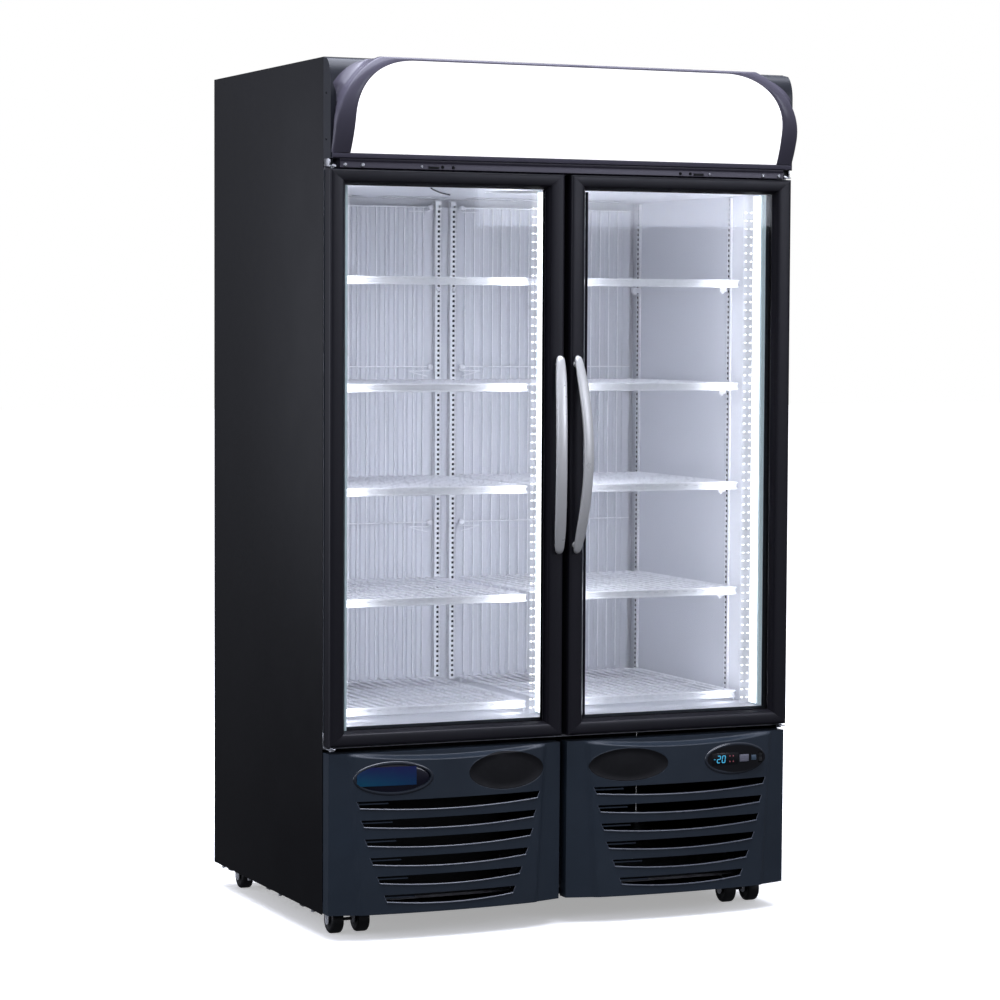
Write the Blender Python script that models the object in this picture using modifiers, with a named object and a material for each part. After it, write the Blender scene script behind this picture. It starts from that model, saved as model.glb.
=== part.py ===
"""Two-door glass display freezer with a lit sign above the doors.

Metres, +Z up, +X to the right of someone facing the doors, doors face -Y.
The origin lies on the floor, in the middle of the object's width and depth.
"""
import math

import bmesh
import bpy
from mathutils import Matrix, Vector

# ------------------------------------------------------------ driving sizes
WIDTH = 1.176
HEIGHT = 2.000
BODY_DEPTH = 0.760          # side panel, front edge to back edge
DOOR_REACH = 0.046          # door face in front of the side panel's front edge
HANDLE_REACH = 0.052        # handle in front of the door face
PANEL_BOTTOM = 0.058        # lower edge of the side panels
SHEET = 0.0015              # outer sheet metal
GAP = 0.0005                # air between neighbouring pieces

BACK = (BODY_DEPTH + DOOR_REACH + HANDLE_REACH) / 2
FRONT = BACK - BODY_DEPTH   # the side panels' front edge
DOOR_FACE = FRONT - DOOR_REACH
HALF = WIDTH / 2

# cold space
WALL = 0.043
CAVITY_HALF = HALF - WALL
CAVITY_FLOOR = 0.485
CAVITY_TOP = 1.722
CAVITY_BACK = FRONT + 0.715
FOAM_BOTTOM = 0.437
CHAMBER_TOP = 1.945
CHAMBER_HALF = 0.500
CHAMBER_FRONT = FRONT + 0.060
DUCT_FRONT = FRONT + 0.690

# doors
DOOR_BOTTOM = 0.445
DOOR_TOP = 1.7495
DOOR_GAP = 0.015
DOOR_BACK = FRONT - 0.012
STILE = 0.043
RAIL = 0.036
STILE_FLAT = 0.034          # flat front of a stile, before its inner bevel
RAIL_FLAT = 0.028
GLASS_SETBACK = 0.018       # glass behind the door face
GLASS_DEPTH = 0.015
HINGE_X = HALF - 0.012
HINGE_Y = FRONT - 0.029
PIN_RADIUS = 0.004
PIN_CLEARANCE = 0.0005

# shelves
SHELF_LEVELS = (0.756, 1.013, 1.254, 1.503)
RACK_LEVEL = 0.503
SHELF_FRONT = FRONT + 0.110
SHELF_BACK = FRONT + 0.664
SHELF_INNER = 0.030
SHELF_OUTER = 0.532
STRIP_HEIGHT = 0.019

# sign
SIGN_BOTTOM = 1.784
SIGN_FACE_TOP = 1.992
SIGN_FACE_HALF = 0.5435
SIGN_SAG = 0.025            # how far the face bulges from its chord
SIGN_FOOT = 0.052           # face ahead of FRONT at the sign's bottom
SIGN_CREST = 0.070          # and at its top

# grilles
GRILLE_BOTTOM = 0.061
GRILLE_TOP = 0.430
GRILLE_INNER = 0.009
GRILLE_OUTER = HALF - 0.002
GRILLE_BOW = 0.029
GRILLE_SKIN = 0.003
GRILLE_MID = (GRILLE_INNER + GRILLE_OUTER) / 2
OVAL_OUTER_X = 0.4385
OVAL_Z = 0.372
SLOT_TOP = 0.3215
SLOT_PITCH = 0.0433
SLOT_WIDTHS = (0.457, 0.437, 0.420, 0.395, 0.363, 0.329)
SLOT_SIDE = 0.0155          # slot height at its ends
SLOT_SAG = 0.0085           # how far its lower edge smiles below that
SLOT_SLANT = 0.006

# casters
AXLE_Z = 0.031
CASTER_X = (-0.500, 0.520)
CASTER_Y = (FRONT + 0.070, FRONT + 0.694)
WHEEL_OFFSET = 0.029
WHEEL_WIDTH = 0.024
BASE_PLATE_Z = 0.080

for old in list(bpy.data.objects):
    bpy.data.objects.remove(old, do_unlink=True)


def new_collection(name):
    collection = bpy.data.collections.new(name)
    bpy.context.scene.collection.children.link(collection)
    return collection


PARTS = new_collection("glass_door_merchandiser")
CUTTERS = new_collection("cutters")


# ---------------------------------------------------------------- materials
def material(name, color, roughness, metallic=0.0, alpha=1.0):
    mat = bpy.data.materials.new(name)
    mat.use_nodes = True
    shader = mat.node_tree.nodes["Principled BSDF"]
    shader.inputs["Base Color"].default_value = (*color, 1.0)
    shader.inputs["Roughness"].default_value = roughness
    shader.inputs["Metallic"].default_value = metallic
    shader.inputs["Alpha"].default_value = alpha
    return mat


BLACK_STEEL = material("black painted steel", (0.020, 0.020, 0.022), 0.45)
BLACK_ALU = material("black anodised frame", (0.030, 0.029, 0.034), 0.35, 0.6)
GLOSS_BLACK = material("gloss black moulding", (0.035, 0.034, 0.042), 0.18)
GRILLE_BLUE = material("charcoal blue plastic", (0.022, 0.028, 0.038), 0.40)
LINER_WHITE = material("white liner", (0.80, 0.82, 0.86), 0.40)
WIRE_WHITE = material("white coated wire", (0.88, 0.89, 0.92), 0.30)
SIGN_WHITE = material("white sign acrylic", (0.95, 0.95, 0.95), 0.30)
GLASS = material("door glass", (0.85, 0.92, 0.92), 0.03, 0.0, 0.25)
RUBBER = material("black gasket", (0.015, 0.015, 0.016), 0.80)
SATIN = material("satin silver", (0.76, 0.76, 0.75), 0.30, 0.9)
ZINC = material("zinc plate", (0.62, 0.63, 0.65), 0.28, 1.0)
GALVANISED = material("galvanised sheet", (0.45, 0.46, 0.48), 0.45, 0.9)
COPPER_FIN = material("coil aluminium", (0.58, 0.58, 0.60), 0.35, 0.9)
LED_LENS = material("led diffuser", (0.95, 0.96, 1.0), 0.30)
TYRE = material("black wheel", (0.012, 0.012, 0.013), 0.55)
BADGE = material("blue badge", (0.020, 0.120, 0.260), 0.30)
KEY_GREY = material("key grey", (0.40, 0.42, 0.46), 0.45)


# ------------------------------------------------------------------ helpers
def add_object(name, mesh, mat=None, collection=PARTS):
    obj = bpy.data.objects.new(name, mesh)
    collection.objects.link(obj)
    if mat:
        mesh.materials.append(mat)
    if collection is CUTTERS:
        obj.hide_render = True
        obj.display_type = "WIRE"
    return obj


def mesh_from(bm, name):
    bmesh.ops.recalc_face_normals(bm, faces=bm.faces)
    mesh = bpy.data.meshes.new(name)
    bm.to_mesh(mesh)
    bm.free()
    return mesh


def box(name, low, high, mat=None, collection=PARTS):
    """A block between two opposite corners."""
    low, high = Vector(low), Vector(high)
    bm = bmesh.new()
    bmesh.ops.create_cube(bm, size=1.0)
    bmesh.ops.scale(bm, vec=high - low, verts=bm.verts)
    mesh = mesh_from(bm, name)
    obj = add_object(name, mesh, mat, collection)
    obj.location = (low + high) / 2
    return obj


AXIS_TURN = {"X": Matrix.Rotation(math.pi / 2, 4, "Y"), "Y": Matrix.Rotation(-math.pi / 2, 4, "X"),
             "Z": Matrix.Identity(4)}


def cylinder(name, centre, axis, radius, length, mat=None, segments=24, collection=PARTS, turn=0.0):
    bm = bmesh.new()
    bmesh.ops.create_cone(bm, cap_ends=True, segments=segments, radius1=radius, radius2=radius, depth=length,
                          matrix=AXIS_TURN[axis] @ Matrix.Rotation(turn, 4, "Z"))
    obj = add_object(name, mesh_from(bm, name), mat, collection)
    obj.location = centre
    return obj


def prism(name, outline, axis, start, end, mat=None, collection=PARTS):
    """A flat outline of (u, v) points pushed along an axis.

    The outline's plane is YZ, XZ or XY for the axes X, Y and Z.
    """
    place = {"X": lambda u, v, w: (w, u, v),
             "Y": lambda u, v, w: (u, w, v),
             "Z": lambda u, v, w: (u, v, w)}[axis]
    bm = bmesh.new()
    corners = [bm.verts.new(place(u, v, start)) for u, v in outline]
    face = bm.faces.new(corners)
    pushed = bmesh.ops.extrude_face_region(bm, geom=[face])
    moved = [item for item in pushed["geom"] if isinstance(item, bmesh.types.BMVert)]
    bmesh.ops.translate(bm, verts=moved, vec=Vector(place(0, 0, end)) - Vector(place(0, 0, start)))
    return add_object(name, mesh_from(bm, name), mat, collection)


def loft(name, rings, mat=None, closed=False):
    """Skin a list of rings with the same number of points; closed joins the last ring to the first."""
    bm = bmesh.new()
    loops = [[bm.verts.new(point) for point in ring] for ring in rings]
    pairs = list(zip(loops, loops[1:]))
    if closed:
        pairs.append((loops[-1], loops[0]))
    for first, second in pairs:
        for k in range(len(first)):
            after = (k + 1) % len(first)
            bm.faces.new((first[k], first[after], second[after], second[k]))
    if not closed:
        bm.faces.new(loops[0])
        bm.faces.new(loops[-1])
    return add_object(name, mesh_from(bm, name), mat)


def boolean(target, other, operation):
    modifier = target.modifiers.new(operation.lower() + "_" + other.name, "BOOLEAN")
    modifier.operation = operation
    modifier.solver = "EXACT"
    modifier.object = other


def cut(target, *others):
    for other in others:
        boolean(target, other, "DIFFERENCE")


def join(target, *others):
    for other in others:
        boolean(target, other, "UNION")


def arc(centre, radii, start, end, steps, power=2.0):
    """Points of a (super)ellipse from one angle to another, in degrees."""
    points = []
    for k in range(steps + 1):
        angle = math.radians(start + (end - start) * k / steps)
        c, s = math.cos(angle), math.sin(angle)
        u = math.copysign(abs(c) ** (2 / power), c)
        v = math.copysign(abs(s) ** (2 / power), s)
        points.append((centre[0] + radii[0] * u, centre[1] + radii[1] * v))
    return points


def mirror_outline(points):
    """Close a right-hand outline, listed bottom to top, with its left-hand mirror image."""
    return points + [(-u, v) for u, v in reversed(points) if u > 0]


def ellipse(centre, radii, steps=24):
    return arc(centre, radii, 0, 360 - 360 / steps, steps - 1)


# -------------------------------------------------------------- cabinet body
def build_cabinet():
    for side, name in ((-1, "left_side_panel"), (1, "right_side_panel")):
        edges = sorted((side * HALF, side * (HALF - SHEET)))
        box(name, (edges[0], FRONT, PANEL_BOTTOM), (edges[1], BACK, HEIGHT), BLACK_STEEL)
    inside = HALF - SHEET - GAP
    # one sheet, bent over the top back edge, closes the top and the back
    bend = [(FRONT + GAP, HEIGHT), (BACK, HEIGHT), (BACK, PANEL_BOTTOM), (BACK - SHEET, PANEL_BOTTOM),
            (BACK - SHEET, HEIGHT - SHEET), (FRONT + GAP, HEIGHT - SHEET)]
    wrapper = prism("top_and_back_panel", bend, "X", -inside, inside, BLACK_STEEL)
    for row in range(7):
        z = 0.130 + 0.034 * row
        cut(wrapper, box("vent_slot", (-0.40, BACK - 0.01, z), (0.40, BACK + 0.01, z + 0.014), None, CUTTERS))

    foam = box("insulated_liner", (-inside, FRONT + GAP, FOAM_BOTTOM),
               (inside, BACK - SHEET - GAP, HEIGHT - SHEET - GAP), LINER_WHITE)
    cut(foam,
        box("cold_space", (-CAVITY_HALF, FRONT - 0.01, CAVITY_FLOOR), (CAVITY_HALF, CAVITY_BACK, CAVITY_TOP),
            None, CUTTERS),
        box("coil_chamber", (-CHAMBER_HALF, CHAMBER_FRONT, CAVITY_TOP - 0.01),
            (CHAMBER_HALF, CAVITY_BACK, CHAMBER_TOP), None, CUTTERS))

    lip = 0.003
    tray = [(-inside, GRILLE_BOTTOM), (-inside + lip, GRILLE_BOTTOM), (-inside + lip, BASE_PLATE_Z),
            (inside - lip, BASE_PLATE_Z), (inside - lip, GRILLE_BOTTOM), (inside, GRILLE_BOTTOM),
            (inside, BASE_PLATE_Z + 0.006), (-inside, BASE_PLATE_Z + 0.006)]
    prism("base_frame", tray, "Y", FRONT + GAP, BACK - SHEET - GAP, GALVANISED)

    box("center_mullion", (-0.030, FRONT + GAP, CAVITY_FLOOR + GAP),
        (0.030, FRONT + 0.045, CAVITY_TOP - 0.006), LINER_WHITE)


def build_interior():
    # ribbed cover of the air duct on the back wall
    rib, depth = 0.050, 0.010
    ribs = int(2 * 0.525 / rib)
    start = -ribs * rib / 2
    front_edge = []
    for k in range(ribs):
        x = start + k * rib
        front_edge += [(x, DUCT_FRONT + 0.004), (x + 0.6 * rib, DUCT_FRONT + 0.004),
                       (x + 0.6 * rib, DUCT_FRONT), (x + rib, DUCT_FRONT)]
    outline = front_edge + [(start + ribs * rib, DUCT_FRONT + depth), (start, DUCT_FRONT + depth)]
    prism("rear_duct_panel", outline, "Z", CAVITY_FLOOR + 0.015, 1.695, LINER_WHITE)

    # slotted shelf standards
    low, high = 0.500, 1.700
    channel, proud, pair = 0.007, 0.009, 0.022
    double = [(-0.031, DUCT_FRONT - 0.0015), (-0.031, DUCT_FRONT - 0.003)]
    for x in (-pair, pair):
        double += [(x - channel, DUCT_FRONT - 0.003), (x - channel, DUCT_FRONT - proud),
                   (x + channel, DUCT_FRONT - proud), (x + channel, DUCT_FRONT - 0.003)]
    double += [(0.031, DUCT_FRONT - 0.003), (0.031, DUCT_FRONT - 0.0015)]
    prism("rear_center_standard", double, "Z", low, 1.690, WIRE_WHITE)
    for side, side_name in ((-1, "left"), (1, "right")):
        wall = side * (CAVITY_HALF - GAP)
        inner = side * (CAVITY_HALF - 0.008)
        for y, place in ((FRONT + 0.176, "front"), (FRONT + 0.674, "rear")):
            xs = sorted((wall, inner))
            box("%s_%s_standard" % (side_name, place), (xs[0], y - channel, low), (xs[1], y + channel, high),
                WIRE_WHITE)

    # lights beside the door openings
    led_low, led_high = 0.500, 1.705
    box("center_led_bar", (-0.050, FRONT + 0.046, led_low), (0.050, FRONT + 0.056, led_high), LED_LENS)
    wall, lamp_face, wing = CAVITY_HALF - GAP, CAVITY_HALF - 0.010, CAVITY_HALF - 0.038
    lamp_start, wing_start, lamp_end = FRONT + 0.003, FRONT + 0.040, FRONT + 0.048
    for side, name in ((-1, "left_led_bar"), (1, "right_led_bar")):
        profile = [(wall, lamp_start), (lamp_face, lamp_start), (lamp_face, wing_start), (wing, wing_start),
                   (wing, lamp_end), (wall, lamp_end)]
        prism(name, [(side * x, y) for x, y in profile], "Z", led_low, led_high, LED_LENS)


def build_shelf(name, side, level, deep):
    """A white wire shelf: a plate cut into front-to-back bars, with a taller front strip."""
    xs = sorted((side * SHELF_INNER, side * SHELF_OUTER))
    top = level + STRIP_HEIGHT / 2
    under = top - 0.006
    shelf = box(name, (xs[0], SHELF_FRONT, under), (xs[1], SHELF_BACK, top), WIRE_WHITE)
    count, bar, frame = 14, 0.004, 0.007
    pitch = (xs[1] - xs[0] - 2 * frame + bar) / count
    for k in range(count):
        x = xs[0] + frame + k * pitch
        cut(shelf, box(name + "_gap", (x, SHELF_FRONT + 0.010, under - 0.01),
                       (x + pitch - bar, SHELF_BACK - 0.007, top + 0.01), None, CUTTERS))
    join(shelf, box(name + "_strip", (xs[0] + 0.0005, SHELF_FRONT - 0.002, level - STRIP_HEIGHT / 2),
                    (xs[1] - 0.0005, SHELF_FRONT + 0.004, top - 0.0005), None, CUTTERS))
    if deep:
        for y in (SHELF_FRONT + 0.002, SHELF_BACK - 0.006):
            for x in (xs[0] + 0.001, xs[1] - 0.007):
                join(shelf, box(name + "_foot", (x, y, CAVITY_FLOOR + GAP),
                                (x + 0.006, y + 0.005, under + 0.002), None, CUTTERS))


def build_shelves():
    for side, side_name in ((-1, "left"), (1, "right")):
        for number, level in enumerate(SHELF_LEVELS, 1):
            build_shelf("%s_shelf_%d" % (side_name, number), side, level, False)
        build_shelf("%s_floor_rack" % side_name, side, RACK_LEVEL, True)


# ---------------------------------------------------------------------- sign
def sign_face_y(z, setback=0.0):
    """Front surface of the sign: a bulge on a leaning chord."""
    share = min(1.0, max(0.0, (z - SIGN_BOTTOM) / (HEIGHT - SIGN_BOTTOM)))
    chord = SIGN_FOOT + (SIGN_CREST - SIGN_FOOT) * share
    return FRONT - chord - 4 * SIGN_SAG * share * (1 - share) + setback


def sign_profile(setback, thickness, top):
    """Side view of a layer of the sign, as (y, z) points; no thickness means back to the door face."""
    steps = 14
    heights = [SIGN_BOTTOM + GAP + (top - SIGN_BOTTOM - GAP) * k / steps for k in range(steps + 1)]
    front = [(sign_face_y(z, setback), z) for z in heights]
    if thickness:
        return front + [(y + thickness, z) for y, z in reversed(front)]
    back = DOOR_FACE - GAP
    return front + [(back, heights[-1]), (back, heights[0])]


def sign_window(shrink):
    """Front view of the lit face."""
    corner = arc((0.390, 1.860), (0.1505 - shrink, 0.132 - shrink), 0, 90, 12, 2.2)
    return mirror_outline([(SIGN_FACE_HALF - shrink, SIGN_BOTTOM - 0.02)] + corner)


def build_sign():
    top = HEIGHT - 0.001
    # housing behind the sign, from the door tops to the cabinet top, rounded at its top front edge
    crown = arc((FRONT - 0.008, 1.940), (DOOR_REACH - 0.008, top - 1.940), 180, 112, 8)
    shell = [(FRONT - GAP, DOOR_TOP + 0.0035), (DOOR_FACE, DOOR_TOP + 0.0035)] + crown + [(FRONT - GAP, top)]
    housing = prism("sign_housing", shell, "X", -HALF, HALF, BLACK_STEEL)
    room = [(FRONT - 0.004, 1.800), (DOOR_FACE - 0.01, 1.800), (DOOR_FACE - 0.01, 1.940),
            (FRONT - 0.004, 1.970)]
    cut(housing, prism("lamp_room", room, "X", -0.52, 0.52, None, CUTTERS))
    for side in (-1, 1):
        xs = sorted((side * (HALF - 0.024), side * (HALF + 0.01)))
        cut(housing, box("hinge_corner", (xs[0], DOOR_FACE - 0.01, DOOR_TOP - 0.01),
                         (xs[1], FRONT + 0.01, SIGN_BOTTOM - 0.004), None, CUTTERS))

    bezel = prism("sign_bezel", sign_profile(0.0, 0.0, top), "X", -HALF, HALF, GLOSS_BLACK)
    arch = [(0.586, SIGN_BOTTOM - 0.01), (0.586, 1.840)]
    arch += arc((0.400, 1.840), (0.186, 0.175), 4, 90, 16)
    boolean(bezel, prism("arch", mirror_outline(arch), "Y", FRONT - 0.2, FRONT, None, CUTTERS), "INTERSECT")
    cut(bezel, prism("window", sign_window(0.0), "Y", FRONT - 0.2, FRONT, None, CUTTERS))

    face = prism("sign_face", sign_profile(0.002, 0.003, SIGN_FACE_TOP), "X", -0.56, 0.56, SIGN_WHITE)
    outline = prism("face_outline", sign_window(0.0006), "Y", FRONT - 0.2, FRONT, None, CUTTERS)
    boolean(face, outline, "INTERSECT")


# --------------------------------------------------------------------- doors
def rect_rings(x0, x1, z0, z1, section):
    """Four mitred corner rings of a frame.

    section lists (inset from the sides, inset from top and bottom, y).
    """
    return [[(x0 + u if left else x1 - u, y, z0 + v if low else z1 - v) for u, v, y in section]
            for left, low in ((True, True), (False, True), (False, False), (True, False))]


def build_door(side, side_name):
    outer, inner = side * HALF, side * DOOR_GAP / 2
    x0, x1 = sorted((outer, inner))
    bevel, step = 0.005, 0.006
    section = [(0.0, 0.0, DOOR_BACK), (0.0, 0.0, DOOR_FACE + bevel), (bevel, bevel, DOOR_FACE),
               (STILE_FLAT, RAIL_FLAT, DOOR_FACE), (STILE_FLAT + 0.003, RAIL_FLAT + 0.003, DOOR_FACE + step),
               (STILE, RAIL, DOOR_FACE + GLASS_SETBACK - 0.001), (STILE, RAIL, DOOR_BACK)]
    frame = loft("%s_door_frame" % side_name, rect_rings(x0, x1, DOOR_BOTTOM, DOOR_TOP, section), BLACK_ALU,
                 closed=True)
    hole = PIN_RADIUS + PIN_CLEARANCE
    for z in (DOOR_BOTTOM, DOOR_TOP):
        cut(frame, cylinder("pin_hole", (side * HINGE_X, HINGE_Y, z), "Z", hole, 0.034, None, 24, CUTTERS))

    glass_front = DOOR_FACE + GLASS_SETBACK
    box("%s_door_glass" % side_name, (x0 + STILE + GAP, glass_front, DOOR_BOTTOM + RAIL + GAP),
        (x1 - STILE - GAP, glass_front + GLASS_DEPTH, DOOR_TOP - RAIL - GAP), GLASS)
    seal = FRONT - 0.0010
    root = DOOR_BACK + GAP
    strip = [(d, d, y) for d, y in ((0.014, root), (0.028, root), (0.026, seal), (0.016, seal))]
    loft("%s_door_gasket" % side_name, rect_rings(x0, x1, DOOR_BOTTOM - 0.006, DOOR_TOP + 0.006, strip),
         RUBBER, closed=True)
    build_handle("%s_door_handle" % side_name, side)


def build_handle(name, side):
    """An arched bar that bows away from the door and from the gap between the doors."""
    low, high, sections, sides = 0.871, 1.331, 14, 8
    rings = []
    for k in range(sections + 1):
        share = k / sections
        bow = math.sin(math.pi * share)
        full = 0.62 + 0.38 * min(1.0, bow * 2.2)
        tip = 0.35 if k in (0, sections) else 1.0
        centre = (side * (0.0225 + 0.012 * bow), DOOR_FACE - 0.0066 - 0.0385 * bow ** 0.85,
                  low + (high - low) * share)
        half_x, half_y = 0.0130 * full * tip, 0.0068 * (0.88 + 0.12 * bow) * tip
        rings.append([(centre[0] + u, centre[1] + v, centre[2])
                      for u, v in arc((0, 0), (half_x, half_y), 0, 360 - 360 / sides, sides - 1)])
    loft(name, rings, SATIN)


def build_hinges():
    for side, side_name in ((-1, "left"), (1, "right")):
        edge = side * (HALF - 0.0005)
        inward = side * (HALF - 0.0225)
        xs = sorted((edge, inward))
        for name, arm, leg, pin in (
                ("top", (DOOR_TOP + 0.003, DOOR_TOP + 0.016), (DOOR_TOP + 0.003, SIGN_BOTTOM - 0.005),
                 (DOOR_TOP - 0.012, DOOR_TOP + 0.004)),
                ("bottom", (DOOR_BOTTOM - 0.008, DOOR_BOTTOM - 0.003),
                 (DOOR_BOTTOM - 0.008, DOOR_BOTTOM + 0.030), (DOOR_BOTTOM - 0.004, DOOR_BOTTOM + 0.012))):
            bracket = box("%s_%s_hinge" % (side_name, name), (xs[0], DOOR_FACE + 0.004, arm[0]),
                          (xs[1], FRONT - GAP, arm[1]), ZINC)
            leg_xs = sorted((edge, side * (HALF - 0.0105)))
            join(bracket,
                 box("hinge_leg", (leg_xs[0], FRONT - 0.0035, leg[0] + 0.0005),
                     (leg_xs[1], FRONT - 2 * GAP, leg[1]), None, CUTTERS),
                 cylinder("hinge_pin", (side * HINGE_X, HINGE_Y, (pin[0] + pin[1]) / 2), "Z", PIN_RADIUS,
                          pin[1] - pin[0], None, 24, CUTTERS))


# ------------------------------------------------------------------- grilles
def grille_front(x):
    """Front surface of a bowed grille, from the distance to the cabinet's middle."""
    share = (abs(x) - GRILLE_MID) / (GRILLE_OUTER - GRILLE_MID)
    return DOOR_FACE + 0.004 - GRILLE_BOW * (1 - share * share)


def slot_outline(width, top):
    """A louvre slot: straight top, slanted ends, lower edge sagging like a smile."""
    half, steps = width / 2, 6
    lower = []
    for k in range(steps + 1):
        share = -1 + 2 * k / steps
        lower.append((share * (half - SLOT_SLANT), top - SLOT_SIDE - SLOT_SAG * (1 - share * share)))
    return lower + [(half, top), (-half, top)]


def build_grille(side, side_name):
    steps = 12
    xs = [GRILLE_INNER + (GRILLE_OUTER - GRILLE_INNER) * k / steps for k in range(steps + 1)]
    back = FRONT - GAP
    outer = [(side * x, grille_front(x)) for x in xs]
    inner = [(side * (GRILLE_MID + (x - GRILLE_MID) * 0.985), grille_front(x) + GRILLE_SKIN)
             for x in reversed(xs)]
    outline = [(side * GRILLE_INNER, back)] + outer + [(side * GRILLE_OUTER, back)]
    outline += [(inner[0][0], back)] + inner + [(inner[-1][0], back)]
    panel = prism("%s_grille" % side_name, outline, "Z", GRILLE_BOTTOM, GRILLE_TOP, GRILLE_BLUE)
    for row, width in enumerate(SLOT_WIDTHS):
        shape = [(side * GRILLE_MID + u, v) for u, v in slot_outline(width, SLOT_TOP - SLOT_PITCH * row)]
        cut(panel, prism("louvre", shape, "Y", FRONT - 0.12, FRONT - 0.03, None, CUTTERS))
    radii = (0.0835, 0.0365) if side > 0 else (0.0935, 0.0375)
    cut(panel, prism("oval_hole", ellipse((side * OVAL_OUTER_X, OVAL_Z), radii), "Y", FRONT - 0.12,
                     FRONT - 0.03, None, CUTTERS))


def build_front_panels():
    build_grille(-1, "left")
    build_grille(1, "right")
    face = grille_front(OVAL_OUTER_X) - 0.006
    prism("badge_plate", ellipse((-OVAL_OUTER_X, OVAL_Z), (0.093, 0.037)), "Y", face, face + 0.018, BADGE)
    housing = prism("controller_housing", ellipse((OVAL_OUTER_X, OVAL_Z), (0.083, 0.036)), "Y", face,
                    face + 0.030, GLOSS_BLACK)
    key_x, key_half, rocker_x = OVAL_OUTER_X + 0.022, 0.012, OVAL_OUTER_X + 0.066
    clearance = 0.0006
    cut(housing,
        box("key_pocket", (key_x - key_half - clearance, face - 0.01, OVAL_Z - 0.0085 - clearance),
            (key_x + key_half + clearance, face + 0.006, OVAL_Z + 0.0085 + clearance), None, CUTTERS),
        box("rocker_pocket", (rocker_x - 0.0052, face - 0.01, OVAL_Z - 0.0125),
            (rocker_x + 0.0052, face + 0.016, OVAL_Z + 0.0125), None, CUTTERS))
    box("set_key", (key_x - key_half, face - 0.0015, OVAL_Z - 0.0085),
        (key_x + key_half, face + 0.0035, OVAL_Z + 0.0085), KEY_GREY)
    box("power_rocker", (rocker_x - 0.0045, face - 0.001, OVAL_Z - 0.0105),
        (rocker_x + 0.0045, face + 0.011, OVAL_Z + 0.0105), TYRE)


# --------------------------------------------------------- refrigeration set
def build_fan(name, centre, axis, radius, mat):
    hub = cylinder(name, centre, axis, 0.022, 0.030, mat)
    blades = 5
    spin = AXIS_TURN[axis]
    for k in range(blades):
        blade = box(name + "_blade", (0, 0, 0), (radius - 0.012, 0.044, 0.002), None, CUTTERS)
        reach = Matrix.Translation((0.012 + (radius - 0.012) / 2, 0, 0))
        pitch = Matrix.Rotation(math.radians(28), 4, "X")
        turn = Matrix.Rotation(2 * math.pi * k / blades, 4, "Z")
        blade.matrix_world = Matrix.Translation(centre) @ spin @ turn @ reach @ pitch
        join(hub, blade)
    return hub


def finned_block(name, low, high, fins, mat):
    """A coil block whose ends are deep fins along X, seen from the front as a comb."""
    pitch = (high[0] - low[0]) / fins
    core_low, core_high = low[2] + 0.010, high[2] - 0.010
    thick = 0.4 * pitch
    bottom, top = [], []
    for k in range(fins):
        x = low[0] + k * pitch
        bottom += [(x, low[2]), (x + thick, low[2]), (x + thick, core_low), (x + pitch, core_low)]
        top += [(x, high[2]), (x + thick, high[2]), (x + thick, core_high), (x + pitch, core_high)]
    return prism(name, bottom + list(reversed(top)), "Y", low[1], high[1], mat)


def build_refrigeration():
    finned_block("evaporator_coil", (-0.42, FRONT + 0.38, 1.760), (0.42, FRONT + 0.64, 1.920), 14, COPPER_FIN)
    cover = box("evaporator_cover", (-CAVITY_HALF + GAP, FRONT + 0.008, 1.7165),
                (CAVITY_HALF - GAP, CAVITY_BACK - GAP, 1.7195), LINER_WHITE)
    fan_centre = (0.0, FRONT + 0.220, 1.760)
    cut(cover, cylinder("fan_opening", (0.0, FRONT + 0.220, 1.718), "Z", 0.088, 0.05, None, 32, CUTTERS))
    for x in (-0.36, -0.12, 0.12, 0.36):
        cut(cover, box("return_slot", (x - 0.09, FRONT + 0.560, 1.70), (x + 0.09, FRONT + 0.640, 1.73),
                       None, CUTTERS))
    build_fan("evaporator_fan", fan_centre, "Z", 0.082, BLACK_STEEL)

    base = BASE_PLATE_Z + 0.006 + GAP
    coil = finned_block("condenser_coil", (-0.50, FRONT + 0.060, base), (-0.12, FRONT + 0.120, 0.400), 12,
                        COPPER_FIN)
    shroud = box("fan_shroud", (-0.499, FRONT + 0.118, base + 0.012), (-0.121, FRONT + 0.150, 0.388), None,
                 CUTTERS)
    centre = (-0.310, FRONT + 0.150, 0.240)
    join(coil, shroud)
    cut(coil, cylinder("shroud_hole", (centre[0], FRONT + 0.165, centre[2]), "Y", 0.098, 0.089, None, 32,
                       CUTTERS))
    build_fan("condenser_fan", (centre[0], FRONT + 0.156, centre[2]), "Y", 0.090, TYRE)

    profile = [(0.0, 0.205), (0.040, 0.200), (0.066, 0.184), (0.078, 0.160), (0.080, 0.105), (0.086, 0.100),
               (0.086, 0.094), (0.080, 0.088), (0.078, 0.030), (0.062, 0.014), (0.062, 0.0), (0.0, 0.0)]
    bm = bmesh.new()
    points = [bm.verts.new((r, 0.0, z)) for r, z in profile]
    for first, second in zip(points, points[1:]):
        bm.edges.new((first, second))
    mesh = bpy.data.meshes.new("compressor")
    bm.to_mesh(mesh)
    bm.free()
    dome = add_object("compressor", mesh, BLACK_STEEL)
    dome.location = (0.250, FRONT + 0.430, base)
    screw = dome.modifiers.new("turn", "SCREW")
    screw.steps = screw.render_steps = 20
    screw.use_merge_vertices = True
    screw.merge_threshold = 0.0001


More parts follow.
